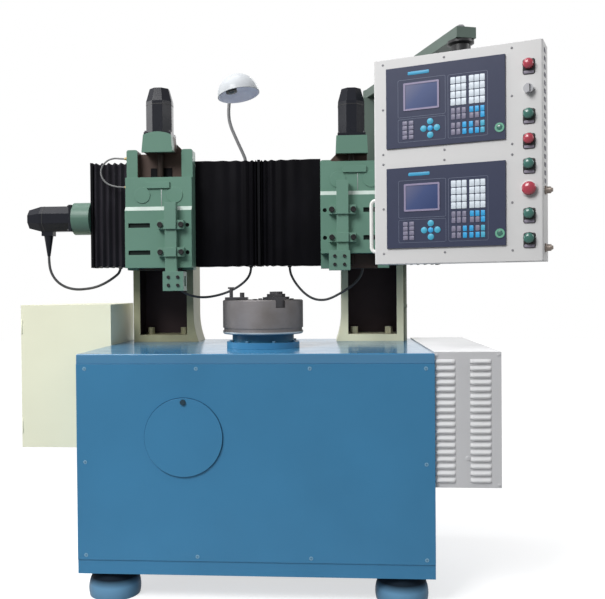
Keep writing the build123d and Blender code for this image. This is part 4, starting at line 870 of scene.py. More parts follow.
bellows_spans = {
    "bellows_outer_left": (-0.705, -0.547, "bellows_left", "left_carriage", (6, 1.0, 0.2)),
    "bellows_inner_left": (-0.020, -0.277, "bellows_left", "left_carriage", (7, 2.4, 0.95)),
    "bellows_inner_right": (-0.010, 0.237, "bellows_right", "right_carriage", (7, 2.4, 0.95)),
    "bellows_outer_right": (0.705, 0.507, "bellows_right", "right_carriage", (7, 1.0, 0.2)),
}
gap = 0.4 * mm
shaded_cloth = bellows_cloth("shaded bellows cloth", (0.0035, 0.0033, 0.0043), specular=0.03)
for name, (fixed, moving, node, carriage, folds) in bellows_spans.items():
    inset = math.copysign(gap, moving - fixed)
    shape = folded(fixed + inset, moving - inset, *folds)
    cloth_finish = shaded_cloth if "inner" in name else finishes["bellows_cloth"]
    bellows = piece(name, shape, cloth_finish)
    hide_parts(node)
    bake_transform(bellows)

# %% [markdown]
# ## Servo motors
# Four square servo motors drive the heads. The CAD gives their bodies; a real one also has four flange
# screws, a seam with a gasket where the brake cap starts, and a screwed collar on its plug. All four are
# alike, so one function dresses a motor that stands on any seat.

# %% Flange screws, seams and plug collars
servo_half = 55 * mm
servo_screw_spread = 49 * mm
servo_flange = 12 * mm
servo_seam_level, servo_seam_width, servo_seam_corner = 137 * mm, 105.6 * mm, 32.6 * mm
plug_level, plug_reach = 115 * mm, 70 * mm
black_plastic = plastic("black plastic", (0.012, 0.012, 0.013), gloss=0.4)


def corner_spots(half_x, half_y, level):
    """The four corners of a rectangle at a level."""
    return [(x, y, level) for x in (-half_x, half_x) for y in (-half_y, half_y)]


def dress_servo(name, origin, along, out, plug_out, body):
    """Screws on the flange, a gasket seam round the body and a gland on the plug of one motor."""
    spots = corner_spots(servo_screw_spread, servo_screw_spread, servo_flange)
    screws = copies(cap_screw(8 * mm, 6 * mm), spots)
    plain_piece(f"{name}_screws", seated(screws, origin, along, out), "dark_steel", body)
    seam = pressed(
        servo_seam_width, servo_seam_width, servo_seam_corner,
        in_mm((0, 0), (0, 3), (1.4, 3), (1.4, 0)), steps=2, closed=True,
    )
    dressing = [seated(copies(seam, (0, 0, servo_seam_level - servo_flange)), origin, along, out)]
    if plug_out is not None:
        gland = turned(in_mm((17, 0), (17, 9), (12, 12), (12, 20)), steps=12)
        gland_place = np.array(origin) + plug_level * np.array(out) + plug_reach * np.array(plug_out)
        dressing.append(seated(gland, gland_place, out, plug_out))
    piece(f"{name}_seams", joined(*dressing), black_plastic, body)


for side in ("left", "right"):
    low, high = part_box(f"{side}_z_motor")
    seat = ((low.x + high.x) / 2, low.y + servo_half, low.z)
    dress_servo(f"{side}_z_servo", seat, steps_x, steps_z, back_out, f"{side}_carriage")
adapter_low, adapter_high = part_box("x_motor_adapters")
feed_axis = middle("x_motor_adapters")[1:]
dress_servo("left_x_servo", (adapter_low.x, *feed_axis), steps_y, -steps_x, None, "machine")
dress_servo("right_x_servo", (adapter_high.x, *feed_axis), steps_y, steps_x, -steps_z, "machine")

# %% [markdown]
# ## Tool heads
# The slide of each head carries clamped tooling: socket screws in the lugs of the tool bar and in its
# block, a steel scale down the middle, and dark guide strips in the recess above. Everything is placed from
# the boxes of the CAD nodes, so that it follows if they are resized.

# %% Screws, scales and guide strips of both heads
slide_step_height, slide_step = 246 * mm, 12 * mm
bar_lug_thickness, bar_bolt_spread = 26 * mm, 42 * mm
block_spread_x, block_spread_z = 18.5 * mm, 16 * mm
scale_place, scale_width, scale_short, scale_gap = 12 * mm, 3 * mm, 50 * mm, 3 * mm
recess_floor, strip_rise, strip_length, strip_spread = 40 * mm, 45 * mm, 150 * mm, 26 * mm
black_screw = steel("black oxide screw", (0.020, 0.020, 0.021), 0.42, (5, 5, 5), stained=0.1)
scale_steel = steel("steel scale", (0.25, 0.28, 0.27), 0.45, (1, 1, 8), stained=0.1)
guide_black = plastic("guide strip black", (0.004, 0.004, 0.005), gloss=0.6, specular=0.05)


def on_front(shape, x, y, z):
    """A shape that faces the operator, at a point of the machine."""
    return seated(shape, (x, y, z), steps_x, front_out)


for side in ("left", "right"):
    slide_low, slide_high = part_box(f"{side}_slide")
    bar_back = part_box(f"{side}_tool_bar")[1].y
    block_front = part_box(f"{side}_tool_block")[0].y
    head_x = middle(f"{side}_slide")[0]
    bar_x = middle(f"{side}_tool_bar")[0]
    block_x, _, block_z = middle(f"{side}_tool_block")
    lug_y = bar_back - bar_lug_thickness
    upper_y = bar_back + slide_step
    bolts = [(x, level, 0) for x in (-bar_bolt_spread, bar_bolt_spread) for level in slot_levels]
    lug_screws = on_front(copies(cap_screw(22 * mm, 9 * mm), bolts), bar_x, lug_y, slide_low.z)
    block_screws = copies(cap_screw(13 * mm, 5 * mm), corner_spots(block_spread_x, block_spread_z, 0))
    block_screws = on_front(block_screws, block_x, block_front, block_z)
    tool_screws = joined(lug_screws, block_screws)
    piece(f"{side}_tool_screws", tool_screws, black_screw, f"{side}_tool_slide")
    scale_height = slide_high.z - slide_low.z - slide_step_height - scale_short
    scale = soft_block(scale_width, scale_height, 1.2 * mm, 0.8 * mm, 0.3 * mm)
    scale_z = slide_low.z + slide_step_height + scale_gap + scale_height / 2
    scale = on_front(scale, head_x + scale_place, upper_y, scale_z)
    piece(f"{side}_scale", scale, scale_steel, f"{side}_tool_slide")
    strip = soft_block(36 * mm, strip_length, 3 * mm, 1 * mm, 0.5 * mm)
    strips = copies(strip, [(x, -strip_length / 2, 0) for x in (-strip_spread, strip_spread)])
    strip_z = min(slide_high.z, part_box("left_slide")[1].z) + strip_rise
    strips = on_front(strips, head_x, recess_floor, strip_z)
    piece(f"{side}_guide_strips", strips, guide_black, f"{side}_carriage")

# %% [markdown]
# ## Spindle and chuck
# The spindle flange is held by a ring of socket screws, and the chuck's face by three pairs between the
# jaws. Each ring is a list of angles on a circle, so its screws are one shape with copies.

# %% Screws round the spindle
spindle_x, spindle_y = middle("chuck_body")[:2]
flange_ring, face_ring = 131 * mm, 118 * mm


def ring_spots(radius, angles, level):
    """Points on a circle at given angles in degrees."""
    turn = np.radians(angles)
    return np.stack([radius * np.cos(turn), radius * np.sin(turn), np.full(len(turn), level)], axis=1)


flange_angles = np.arange(8) * 45 + 22.5
flange_screws = copies(cap_screw(13 * mm, 7 * mm), ring_spots(flange_ring, flange_angles, 0))
flange_screws = seated(flange_screws, (spindle_x, spindle_y, flange_top), steps_x, steps_z)
plain_piece("flange_screws", flange_screws, "dark_blue_paint")
face_angles = np.ravel([[angle - 20, angle + 20] for angle in (0, 120, 240)])
face_screws = copies(cap_screw(16 * mm, 4 * mm), ring_spots(face_ring, face_angles, 0))
face_screws = seated(face_screws, (spindle_x, spindle_y, chuck_high.z), steps_x, steps_z)
piece("chuck_screws", face_screws, black_screw, "spindle")

# %% [markdown]
# ## Front cover
# The heads of the cover screws have a cross slot. A thin dark cross set just proud of each head reads as
# the slot without cutting the CAD mesh; its dark blue is painted shade in the slot. A flat dark ring shows
# the gap round the inspection cover in the same way.

# %% Cross slots in the cover screws
screw_low, screw_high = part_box("front_cover_screws")
screw_radius = 7 * mm
screw_columns = np.linspace(screw_low.x + screw_radius, screw_high.x - screw_radius, 4)
screw_middle = middle("front_cover_screws")[2]
screw_rows = (screw_low.z + screw_radius, screw_middle, screw_high.z - screw_radius)
slot_long, slot_wide, slot_corner, slot_rise = 8 * mm, 1.6 * mm, 0.4 * mm, 0.3 * mm
cross = joined(
    pressed(slot_long, slot_wide, slot_corner, [(0, 0), (0, slot_rise)]),
    pressed(slot_wide, slot_long, slot_corner, [(0, 0), (0, slot_rise)]),
)
outer_column = 0.5
screw_spots = [
    (x, z, 0) for x in screw_columns for z in screw_rows if z != screw_middle or abs(x) > outer_column
]
cover_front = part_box("front_cover")[0].y
# The cross slots are painted dark blue: painted shade in the slots.
slot_shade_blue = plastic("slot shade blue", (0.050, 0.160, 0.280), gloss=0.5)
screw_slots = on_front(copies(cross, screw_spots), 0, cover_front, 0)
piece("cover_screw_slots", screw_slots, slot_shade_blue, "machine")

# %% Dark seam round the inspection cover
disc_centre, disc_radius = (-0.246, 0.584), 138.5 * mm
seam_outer, seam_rise = disc_radius + 2.2 * mm, 0.5 * mm
seam = turned(
    [(seam_outer, 0), (seam_outer, seam_rise), (disc_radius, seam_rise), (disc_radius, 0)],
    steps=96, closed=True,
)
seam_blue = plastic("seam blue", (0.016, 0.070, 0.130), gloss=0.6, specular=0.1)
inspection_seam = on_front(seam, disc_centre[0], cover_front, disc_centre[1])
piece("inspection_seam", inspection_seam, seam_blue, "machine")

# %% [markdown]
# ## Louvred drive box
# The vents are pressed out of the sheet: each is a hood that slopes out from the top and opens downwards.
# The hood is a height over a small rectangle, zero at its rim, rising towards its lower edge and falling
# off at both ends. Two columns of copies stand over the slots of the CAD cover.

# %% Pressed hoods and the lock
drive_low, drive_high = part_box("drive_box")
hood_length, hood_drop, hood_rise = 72 * mm, 17 * mm, 7 * mm
hood_back, hood_lead = 0.2 * mm, 10 * mm
louvre_rows, louvre_pitch, louvre_top = 18, 24.2 * mm, 35 * mm
louvre_spread, louvre_shift = 61 * mm, -17 * mm


def hood():
    """Height over (u, v): a slope that rises to the lower edge, rounded off at its ends and its lip."""
    u = np.linspace(-1, 1, 13)
    v = np.array([0, 0.14, 0.34, 0.55, 0.80, 1.0])
    slope = np.array([0, 0.36, 0.82, 1.0, 0.80, 0.0])
    ends = np.sqrt(np.clip(1 - np.abs(u) ** 8, 0, 1))
    x = np.broadcast_to(u[:, None] * hood_length / 2, (len(u), len(v)))
    y = np.broadcast_to(-v * hood_drop, x.shape)
    top = np.stack([x, y, hood_rise * ends[:, None] * slope], axis=-1)
    under = np.stack([x, y, np.full_like(x, -hood_back)], axis=-1)
    return slab(top, under)


# The hoods are painted lighter than the sheet around them: a painted highlight on their slopes.
lit_hood_paint = enamel("highlighted hood enamel", (0.74, 0.74, 0.745), gloss=0.45, drift=0.05)
drive_x, _, drive_z = middle("drive_box")
hood_spots = [
    (louvre_shift + x, -louvre_top + hood_lead - row * louvre_pitch, hood_back)
    for x in (-louvre_spread, louvre_spread) for row in range(louvre_rows)
]
hoods = on_front(copies(hood(), hood_spots), drive_x, drive_low.y, drive_high.z)
piece("louvre_hoods", hoods, lit_hood_paint, "machine")
lock = turned(in_mm((9, 0), (9, 1.5), (6.5, 2.5), (2, 2.5), (1.6, 1)), steps=20)
lock_height, lid_inset_x, lid_inset_z = 102 * mm, 9 * mm, 10 * mm
drive_lock = on_front(lock, drive_x, drive_low.y, drive_low.z + lock_height)
piece("drive_lock", drive_lock, finishes["grey_paint"], "machine")
lid_half_x = (drive_high.x - drive_low.x) / 2 - lid_inset_x
lid_half_z = (drive_high.z - drive_low.z) / 2 - lid_inset_z
lid_screw = turned(in_mm((5, 0), (4.6, 1.6), (2.5, 2.4)), steps=12)
lid_screws = copies(lid_screw, corner_spots(lid_half_x, lid_half_z, 0))
lid_screws = on_front(lid_screws, drive_x, drive_low.y, drive_z)
plain_piece("drive_box_screws", lid_screws, "grey_paint")

# %% [markdown]
# ## Electrical cabinet
# The cabinet door is a shallow folded tray on two pin hinges with a quarter-turn lock. They are turned
# shapes that ride on the door.

# %% Hinges and lock of the cabinet door
door_low, door_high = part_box("cabinet_door")
knuckle = turned(in_mm((2.4, -30), (3, -29), (3, 29), (2.4, 30)), steps=16)
hinge_inset, hinge_x, lock_inset = 90 * mm, door_low.x + 4 * mm, 28 * mm
hinge_levels = (door_low.z + hinge_inset, door_high.z - hinge_inset)
hinges = [seated(knuckle, (hinge_x, door_low.y, level), steps_x, steps_z) for level in hinge_levels]
plain_piece("door_hinges", joined(*hinges), "cream_paint", "cabinet_door")
quarter_lock = turned(in_mm((13, 0), (13, 2), (11, 4), (4, 4), (3.5, 1.5)), steps=24)
lock_place = (door_high.x - lock_inset, door_low.y, middle("cabinet_door")[2])
plain_piece("door_lock", on_front(quarter_lock, *lock_place), "zinc_steel", "cabinet_door")

# %% [markdown]
# ## Control box
# The box hangs turned a little towards the operator. All its small parts sit on one seat: an origin in
# the middle of its front face, one axis along the face and one out of it. The two control units are alike,
# so each set of keys is one piece with copies on both.

# %% The seat on the control box
box_turn = math.radians(22)
box_half_width, box_half_height, box_reach = 275 * mm, 344 * mm, 93 * mm
box_along = np.array([math.cos(box_turn), -math.sin(box_turn), 0])
box_inward = np.array([math.sin(box_turn), math.cos(box_turn), 0])
box_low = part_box("control_box")[0]
swivel = np.array([0.7154, -0.4688, 0])
box_middle = swivel + (box_low.z + box_half_height) * steps_z
face_origin = box_middle - box_reach * box_inward
unit_width, unit_height, unit_bezel = 391 * mm, 268 * mm, 6 * mm
unit_x, unit_levels = -34 * mm, (177 * mm, -158 * mm)


def on_box(shape, spots=((0, 0, 0),)):
    """Copies of a shape on the front face of the control box."""
    return seated(copies(shape, spots), face_origin, box_along, -box_inward)


def panel_piece(name, shape, spots, material):
    """A piece made of copies of one shape on the front face of the control box."""
    return piece(name, on_box(shape, spots), material, "control_panel")


def on_units(u, v, level=0.0):
    """Spots on both units for shares u across from the left and v down from the top."""
    u, v = np.broadcast_arrays(np.ravel(u), np.ravel(v))
    return np.concatenate([
        np.stack([
            unit_x + (u - 0.5) * unit_width, unit_level + (0.5 - v) * unit_height,
            np.full(len(u), unit_bezel + level),
        ], axis=1)
        for unit_level in unit_levels
    ])


def key_block(left, right, columns, top, bottom, rows):
    """Shares of the middles of a block of keys."""
    u = left + (np.arange(columns) + 0.5) * (right - left) / columns
    v = top + (np.arange(rows) + 0.5) * (bottom - top) / rows
    across, down = np.meshgrid(u, v)
    return across.ravel(), down.ravel()


print("control box seat at", np.round(face_origin, 3))

# %% Frames, screens and their bezels
pale_line = plastic("pale print", (0.13, 0.15, 0.21), gloss=0.45)
screen_bezel = plastic("screen bezel", (0.25, 0.22, 0.33), gloss=0.4)
frames = [(0.105, 0.515, 0.160, 0.628), (0.105, 0.515, 0.648, 0.935), (0.535, 0.862, 0.165, 0.935)]
frame_corner, frame_band, frame_rise = 5 * mm, 1.1 * mm, 0.3 * mm
bezel_corner, bezel_band, bezel_rise = 3 * mm, 6 * mm, 2.2 * mm
frame_shapes = [
    on_box(
        border(
            (right - left) * unit_width, (bottom - top) * unit_height,
            frame_corner, frame_band, frame_rise,
        ),
        on_units((left + right) / 2, (top + bottom) / 2),
    )
    for left, right, top, bottom in frames
]
piece("unit_frames", joined(*frame_shapes), pale_line, "control_panel")
screen_left, screen_right, screen_top, screen_bottom = 0.155, 0.462, 0.205, 0.548
screen_width = (screen_right - screen_left) * unit_width
screen_height = (screen_bottom - screen_top) * unit_height
screen_spots = on_units((screen_left + screen_right) / 2, (screen_top + screen_bottom) / 2)
bezel = border(screen_width, screen_height, bezel_corner, bezel_band, bezel_rise)
panel_piece("screen_bezels", bezel, screen_spots, screen_bezel)

# %% [markdown]
# A screen that is off still shows a soft gradient, a reflection of the room. Here it is a painted
# reflection: a colour ramp over an attribute stored on the glass, which runs from corner to corner. An
# emission texture could do the same, but the ramp keeps it simple.

# %% Screen glass with a painted corner-to-corner reflection
glass_inset, glass_corner, glass_rise = 10 * mm, 1 * mm, 0.9 * mm
glass_shape = pressed(
    screen_width - glass_inset, screen_height - glass_inset, glass_corner, [(0, 0), (0, glass_rise)]
)
# The glass's colour ramp is a painted reflection of the room.
glass_tone, glass_start, glass_inputs = finish("screen glass")
tone = glass_start.node("ShaderNodeAttribute", out="Fac", attribute_name="painted_reflection_tone")
ramp = glass_start.node(
    "ShaderNodeValToRGB", {"Fac": tone},
    stops=[(0.0, (0.016, 0.034, 0.115)), (1.0, (0.115, 0.120, 0.20)), (0.55, (0.040, 0.063, 0.165))],
)
wire_up(glass_inputs, base_color=ramp, roughness=0.32, specular_ior_level=0.3)
screens = panel_piece("screens", glass_shape, screen_spots, glass_tone)
local = np.tile(glass_shape[0], (len(screen_spots), 1))
painted_reflection_tone = 0.5 - local[:, 0] / screen_width * 0.7 + local[:, 1] / screen_height * 0.5
attribute = screens.data.attributes.new("painted_reflection_tone", "FLOAT", "POINT")
attribute.data.foreach_set("value", np.clip(painted_reflection_tone, 0, 1).astype(np.float32))

# %% [markdown]
# A thin blue strip lies over each screen. It could be a colour in the foil's texture, but a flat rounded
# plate catches the light as a real raised strip does.

# %% Plain strips over the screens
strip_blue = plastic("strip blue", (0.045, 0.30, 0.50), gloss=0.4)
head_strip = soft_block(72 * mm, 11 * mm, 0.5 * mm, 3 * mm, 0.2 * mm)
panel_piece("head_strips", head_strip, on_units(0.285, 0.088), strip_blue)

# %% [markdown]
# The keys are raised pads in four colours, in blocks of equal rows and columns, with a round cross of arrow
# keys and a green start key beside them. A block needs only its borders and its counts, given as shares of
# the unit, so that the keys keep their places if a unit is resized.

# %% Keys in their colours
key_white = plastic("white key", (0.62, 0.68, 0.74), gloss=0.4)
key_grey = plastic("grey key", (0.19, 0.18, 0.25), gloss=0.4)
key_blue = plastic("blue key", (0.035, 0.33, 0.64), gloss=0.4)
key_cyan = plastic("cyan key", (0.065, 0.36, 0.52), gloss=0.4)
key_thick, key_edge = 1.6 * mm, 0.7 * mm
pad = soft_block(15.6 * mm, 21.3 * mm, key_thick, edge=key_edge)
small = soft_block(16 * mm, 13.6 * mm, key_thick, edge=key_edge)
lower = soft_block(13 * mm, 18 * mm, key_thick, edge=key_edge)


def keys_at(*blocks):
    """Spots on both units for several blocks of keys."""
    return np.concatenate([on_units(*key_block(*block)) for block in blocks])


white_spots = keys_at((0.556, 0.690, 3, 0.197, 0.548, 4), (0.708, 0.842, 3, 0.197, 0.548, 4))
grey_spots = keys_at((0.556, 0.690, 3, 0.572, 0.718, 2), (0.556, 0.645, 2, 0.745, 0.905, 2),
                     (0.708, 0.798, 2, 0.645, 0.718, 1), (0.753, 0.798, 1, 0.745, 0.825, 1))
blue_spots = keys_at((0.708, 0.842, 3, 0.572, 0.645, 1), (0.798, 0.842, 1, 0.645, 0.718, 1),
                     (0.645, 0.753, 2, 0.745, 0.905, 2), (0.753, 0.798, 1, 0.825, 0.905, 1))
cyan_spots = keys_at((0.798, 0.842, 1, 0.745, 0.905, 2))
side_spots = keys_at((0.138, 0.248, 2, 0.672, 0.905, 4))
panel_piece("white_keys", pad, white_spots, key_white)
grey_keys = joined(on_box(lower, grey_spots), on_box(small, side_spots))
piece("grey_keys", grey_keys, key_grey, "control_panel")
panel_piece("blue_keys", lower, blue_spots, key_blue)

# %% Arrow keys and start keys
cross_u, cross_v, cross_du, cross_dv = 0.385, 0.787, 0.057, 0.083
arrow_spots = on_units(
    [cross_u - cross_du, cross_u + cross_du, cross_u, cross_u],
    [cross_v, cross_v, cross_v - cross_dv, cross_v + cross_dv],
)
start_spots = on_units(0.955, 0.859)
arrow_key = turned([(10.5 * mm, 0), (10.5 * mm, 1 * mm), (9.5 * mm, key_thick)], steps=20)
centre_key = turned([(9 * mm, 0), (9 * mm, 1 * mm), (8 * mm, key_thick)], steps=20)
cyan_keys = joined(on_box(lower, cyan_spots), on_box(arrow_key, arrow_spots))
piece("cyan_keys", cyan_keys, key_cyan, "control_panel")
panel_piece("centre_keys", centre_key, on_units(cross_u, cross_v), key_blue)
start_ring = turned(in_mm((15, 0), (15, 2), (9, 2), (9, 0)), steps=28, closed=True)
start_dot = turned(in_mm((8.6, 0), (8.6, 1), (7, 1.6)), steps=20)
ring_green = plastic("start ring green", (0.13, 0.36, 0.25), gloss=0.35)
panel_piece("start_rings", start_ring, start_spots, ring_green)
panel_piece("start_dots", start_dot, start_spots, finishes["green_plastic"])

# %% [markdown]
# Seven push buttons, one of them the emergency stop, and a selector stand in a column. Each small button
# sits in a black holder with a plain field below it; the holder's black just below the dome is also
# painted shade. Each cap is domed. The domes ride on the buttons, so that they move when pressed. The
# stop's mushroom takes the place of its CAD solid.

# %% Button holders
button_x, button_top, button_pitch = 233 * mm, 270 * mm, 77.5 * mm
button_names = [
    "button_red_top", "selector_knob", "button_green_upper", "button_red_middle", "button_green_middle",
    "emergency_stop", "button_green_lower", "button_green_bottom",
]
button_levels = [button_top - button_pitch * row for row in range(8)]
holder = soft_block(37 * mm, 48 * mm, 2.4 * mm, 6 * mm, 0.6 * mm)
label = soft_block(31 * mm, 9 * mm, 0.8 * mm, 1.5 * mm, 0.3 * mm)
collar = in_mm((18.6, 0), (18.6, 6), (17.8, 7.6), (16.6, 7.6), (16.6, 0))
collar = turned(collar, steps=32, closed=True)
stop_plate = turned(in_mm((27, 0), (27, 0.8), (26, 1.4)), steps=36)
holder_drop, label_drop, label_lift = 7 * mm, 24.5 * mm, 2.2 * mm
label_violet = plastic("label violet", (0.22, 0.20, 0.25), gloss=0.45)
collared = [level for name, level in zip(button_names, button_levels) if name.startswith("button")]
stop_level = button_levels[button_names.index("emergency_stop")]
label_spots = [(button_x, level - label_drop, label_lift) for level in collared]
stop_spot = (button_x, stop_level, 0)
# Black holders and collars; below each dome their black also stands as painted shade.
holders = on_box(holder, [(button_x, level - holder_drop, 0) for level in collared])
collars = on_box(collar, [(button_x, level, 0) for level in collared])
piece("button_holders", joined(holders, collars), black_plastic, "control_panel")
panel_piece("button_labels", label, label_spots, label_violet)
panel_piece("stop_plate", stop_plate, stop_spot, finishes["beige_paint"])

# %% Domes and the stop's mushroom
button_lift, cap_height, dome_sink = 6 * mm, 11 * mm, 0.2 * mm
dome_radius, dome_rise = 15.8 * mm, 7 * mm
dome_end, dome_steps = 80, 7
stop_radius = 21.6 * mm


def dome(radius, rise):
    """A quarter ellipse turned round the axis, ending in a small flat."""
    turn = np.linspace(0, math.radians(dome_end), dome_steps)
    return turned([(radius * math.cos(angle), rise * math.sin(angle)) for angle in turn], steps=28)


for name, level in zip(button_names, button_levels):
    if name.startswith("button"):
        slot = "green_plastic" if "green" in name else "red_plastic"
        dome_level = button_lift + cap_height - dome_sink
        cap = on_box(dome(dome_radius, dome_rise), (button_x, level, dome_level))
        plain_piece(f"{name}_dome", cap, slot, name)
stop_turn = np.radians(np.linspace(0, dome_end, dome_steps))
stop_profile = in_mm((10.5, -16), (10.5, 6), (20.6, 6), (21.6, 7.4))
stop_profile += [(stop_radius * math.cos(angle), (13 + 9 * math.sin(angle)) * mm) for angle in stop_turn]
stop_cap = on_box(turned(stop_profile, steps=36), stop_spot)
mushroom = plain_piece("emergency_mushroom", stop_cap, "red_plastic", "emergency_stop")
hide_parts("emergency_stop")

# %% [markdown]
# Eight screws hold each unit. The right side of the box has a column of vent slots and two cable
# connectors. A slot could be cut through the sheet, but a thin dark rounded plate reads the same at this
# size; its dark is painted shade inside the opening.

# %% Panel screws, side vents and connectors
dull_grey = plastic("dull grey metal", (0.20, 0.20, 0.21), gloss=0.5)
panel_screw = turned(in_mm((4, 0), (3.8, 1), (2, 1.6)), steps=12)
reach_u, reach_v, right_shift = 13 * mm / unit_width, 17 * mm / unit_height, 0.017
left_u, right_u = -reach_u, 1 + reach_u + right_shift
screw_u = [left_u, 0.5, right_u] * 2 + [left_u, right_u]
screw_v = [-reach_v] * 3 + [1 + reach_v] * 3 + [0.5] * 2
panel_spots = on_units(screw_u, screw_v, -unit_bezel)
panel_piece("panel_screws", panel_screw, panel_spots, dull_grey)
side_origin = box_middle + box_half_width * box_along
vent = soft_block(34 * mm, 14 * mm, 0.8 * mm, 5 * mm, 0.3 * mm)
vent_depth, vent_top, vent_pitch, vent_rows = -50 * mm, 318 * mm, 25.6 * mm, 17
vent_spots = [(vent_depth, vent_top - vent_pitch * row, 0) for row in range(vent_rows)]
vents = seated(copies(vent, vent_spots), side_origin, box_inward, box_along)
# The vents' dark plates are painted shade inside the openings.
vent_shade_dark = plastic("vent painted shade", (0.030, 0.030, 0.055), gloss=0.5)
piece("side_vents", vents, vent_shade_dark, "control_panel")
connector = joined(
    turned(in_mm((15, 0), (15, 4), (14, 5)), steps=6),
    turned(in_mm((11, 5), (11, 17), (9, 19)), steps=20),
    turned(in_mm((7, 19), (6, 24)), steps=16),
)
connector_depth, connector_levels = -55 * mm, (-121 * mm, -302 * mm)
connector_brown = steel("connector metal", (0.20, 0.17, 0.15), 0.45, (3, 3, 3), stained=0.3)
connectors = copies(connector, [(connector_depth, level, 0) for level in connector_levels])
connectors = seated(connectors, side_origin, box_inward, box_along)
piece("side_connectors", connectors, connector_brown, "control_panel")

# %% [markdown]
# ## Swing arm
# The arm turns on the post and carries the box on a black swivel. A cap and a nut close each pivot from
# above, and four bolts hold the foot of the post.

# %% Swivel, pivot caps and post bolts
arm_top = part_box("swing_arm")[1].z
post_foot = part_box("arm_post")[0].z
post_centre = middle("arm_post") * (1, 1, 0)
box_roof = box_low.z + 2 * box_half_height
sleeve = in_mm((58, 0.4), (58, 9), (55, 11), (36, 12), (33, 15), (33, 40), (44, 46), (44, 54.5))
sleeve = seated(turned(sleeve, steps=40), swivel + box_roof * steps_z, box_along, steps_z)
piece("swivel_sleeve", sleeve, black_plastic, "control_panel")
cap_rise, post_bolt_spread, post_plate = 5 * mm, 56 * mm, 12 * mm
pivot_cap = turned(in_mm((24, 0), (24, 3), (21, 5)), steps=32)
pivot_nut = copies(hex_head(26 * mm, 12 * mm), (0, 0, cap_rise))
pivots = [
    seated(joined(pivot_cap, pivot_nut), place + arm_top * steps_z, steps_x, steps_z)
    for place in (post_centre, swivel)
]
piece("pivot_nuts", joined(*pivots), dull_grey, "swing_arm")
bolt_spots = corner_spots(post_bolt_spread, post_bolt_spread, post_plate)
post_bolts = copies(hex_head(18 * mm, 9 * mm), bolt_spots)
post_bolts = seated(post_bolts, post_centre + post_foot * steps_z, steps_x, steps_z)
plain_piece("post_bolts", post_bolts, "zinc_steel")

# %% [markdown]
# ## Fittings
# Cables end in gland nuts under the beam and the oil line in two small fittings on the saddle's side.

# %% Cable glands and oil fittings
gland = joined(
    turned(in_mm((11, 0), (11, 7)), steps=6),
    turned(in_mm((9, 7), (8.5, 13), (7, 15)), steps=16),
)
beam_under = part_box("left_hanging_cable")[1].z
gland_y, gland_columns = 0.152, (-0.616, -0.419, -0.058, 0.104, 0.409)
gland_spots = [(x, gland_y, beam_under) for x in gland_columns]
glands = [seated(gland, spot, steps_x, -steps_z) for spot in gland_spots]
piece("cable_glands", joined(*glands), black_plastic, "machine")
brass = steel("brass fitting", (0.30, 0.22, 0.10), 0.42, (3, 3, 3), stained=0.3)
fitting = joined(
    turned(in_mm((8, 0), (8, 6)), steps=6),
    turned(in_mm((5.5, 6), (5, 13)), steps=16),
)
fittings = [
    seated(fitting, (oil_start[0], oil_start[1], oil_start[2] - drop), steps_y, -steps_x)
    for drop in (0, oil_drop)
]
piece("oil_fittings", joined(*fittings), brass, "left_carriage")

# %% [markdown]
# ## Lamp
# A rolled bead stiffens the rim of the lamp's shade. It is a small circle carried round the rim.

# %% Bead round the rim of the shade
rim_radius, bead = 85 * mm, 2 * mm
rim_turn = np.linspace(0, 2 * math.pi, 10, endpoint=False)
rim_profile = [(rim_radius + bead * math.cos(a), bead * math.sin(a)) for a in rim_turn]
shade_bead = seated(turned(rim_profile, steps=64, closed=True), rim_centre, lamp_along, lamp_up)
piece("shade_bead", shade_bead, lamp_paint, "lamp_head")

# %% [markdown]
# ## Light and floor
# The photograph is cut out on white, lit softly from the front and a little from the left. Five softboxes
# and a grey world do that: a large one in front, weaker ones above, at the left and behind, and a small one
# that lights the right side of the control box. The floor is white for the camera, but still takes the
# machine's shadow: a diffuse shader with a glow that only the camera, mirrors and glass see.

# %% World that is white only where it is seen
scene = bpy.context.scene
scene.view_settings.view_transform = "Standard"
sky_colour, sky_strength = (0.92, 0.95, 1, 1), 0.30


def seen_rays(start):
    """1 for rays from the camera, from mirrors and through glass, 0 for rays that light a surface."""
    kinds = ("Is Camera Ray", "Is Glossy Ray", "Is Transmission Ray")
    rays = [start.node("ShaderNodeLightPath", out=kind) for kind in kinds]
    return rays[0] + rays[1] + rays[2]


world = bpy.data.worlds.new("studio")
scene.world = world
world.use_nodes = True
world_start = Wire(world.node_tree)
world_start.tree.nodes.clear()
dim = world_start.node("ShaderNodeBackground", {"Color": sky_colour, "Strength": sky_strength})
white = world_start.node("ShaderNodeBackground", {"Color": (1, 1, 1, 1), "Strength": 1.0})
world_mix = world_start.node("ShaderNodeMixShader", {0: seen_rays(world_start), 1: dim, 2: white})
world_start.node("ShaderNodeOutputWorld", {"Surface": world_mix})
print("sky strength", sky_strength)


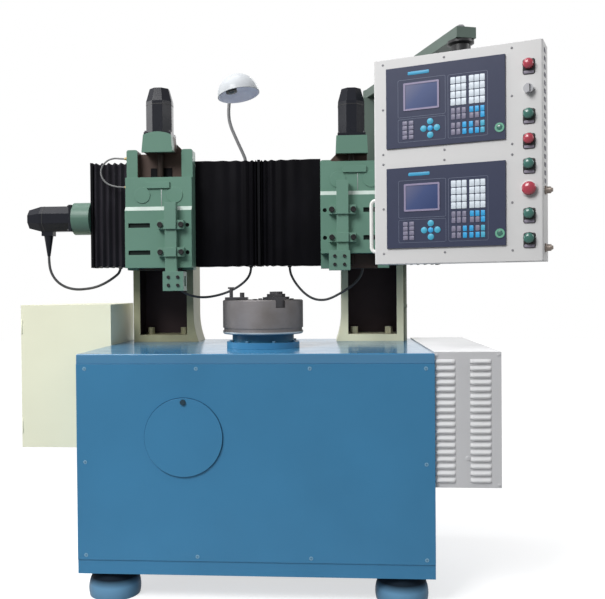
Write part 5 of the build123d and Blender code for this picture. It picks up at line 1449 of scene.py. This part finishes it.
# %% Softboxes
def softbox(name, place, target, size, power):
    """A square lamp that faces a target point."""
    data = bpy.data.lights.new(name, "AREA")
    data.size = size
    data.energy = power
    lamp = bpy.data.objects.new(name, data)
    place, target = np.array(place), np.array(target)
    away = (place - target) / np.linalg.norm(place - target)
    side = np.cross((0, 0, 1), away) / np.linalg.norm(np.cross((0, 0, 1), away))
    turn = np.eye(4)
    turn[:3, :3] = np.stack([side, np.cross(away, side), away], axis=1)
    turn[:3, 3] = place
    lamp.matrix_world = Matrix(turn.tolist())
    scene.collection.objects.link(lamp)
    print(name, power, "W")


softbox("front_softbox", (-2.4, -3.8, 4.6), (0, 0, 0.9), 2.4, 300)
softbox("top_softbox", (-1.0, -0.1, 4.4), (-0.4, 0, 0.9), 2.4, 55)
softbox("side_softbox", (-4.2, 0.4, 2.2), (-0.4, 0, 1.2), 2.0, 60)
softbox("back_softbox", (1.5, 3.4, 3.0), (0, 0.2, 1.0), 2.4, 45)
softbox("right_softbox", (2.6, -0.7, 2.3), (0.98, -0.55, 1.6), 0.8, 14)

# %% Floor
floor_half, floor_drop = 14.0, 0.5 * mm
floor_near, floor_far = 0.9, 2.3
floor_corners = np.array([[-1, -1, 0], [1, -1, 0], [1, 1, 0], [-1, 1, 0]])
floor_grid = floor_corners * floor_half - floor_drop * steps_z
floor_mesh = bpy.data.meshes.new("floor")
floor_mesh.from_pydata(floor_grid.tolist(), [], [(0, 1, 2, 3)])
floor = bpy.data.objects.new("floor", floor_mesh)
scene.collection.objects.link(floor)
floor_paint, floor_start, floor_inputs = finish("white floor")
distance = floor_start.measure("LENGTH", floor_start.point())
far = floor_start.node(
    "ShaderNodeMapRange", {"Value": distance, "From Min": floor_near, "From Max": floor_far}
)
glow = seen_rays(floor_start) * (far * 0.35 + 0.65)
wire_up(floor_inputs, base_color=far.mix((0.5, 0.5, 0.5), (0.02, 0.02, 0.02)), roughness=1.0)
wire_up(floor_inputs, emission_color=glow.mix((0, 0, 0), (1, 1, 1)), emission_strength=1.0)
floor_mesh.materials.append(floor_paint)
print("floor", floor_half * 2, "m")
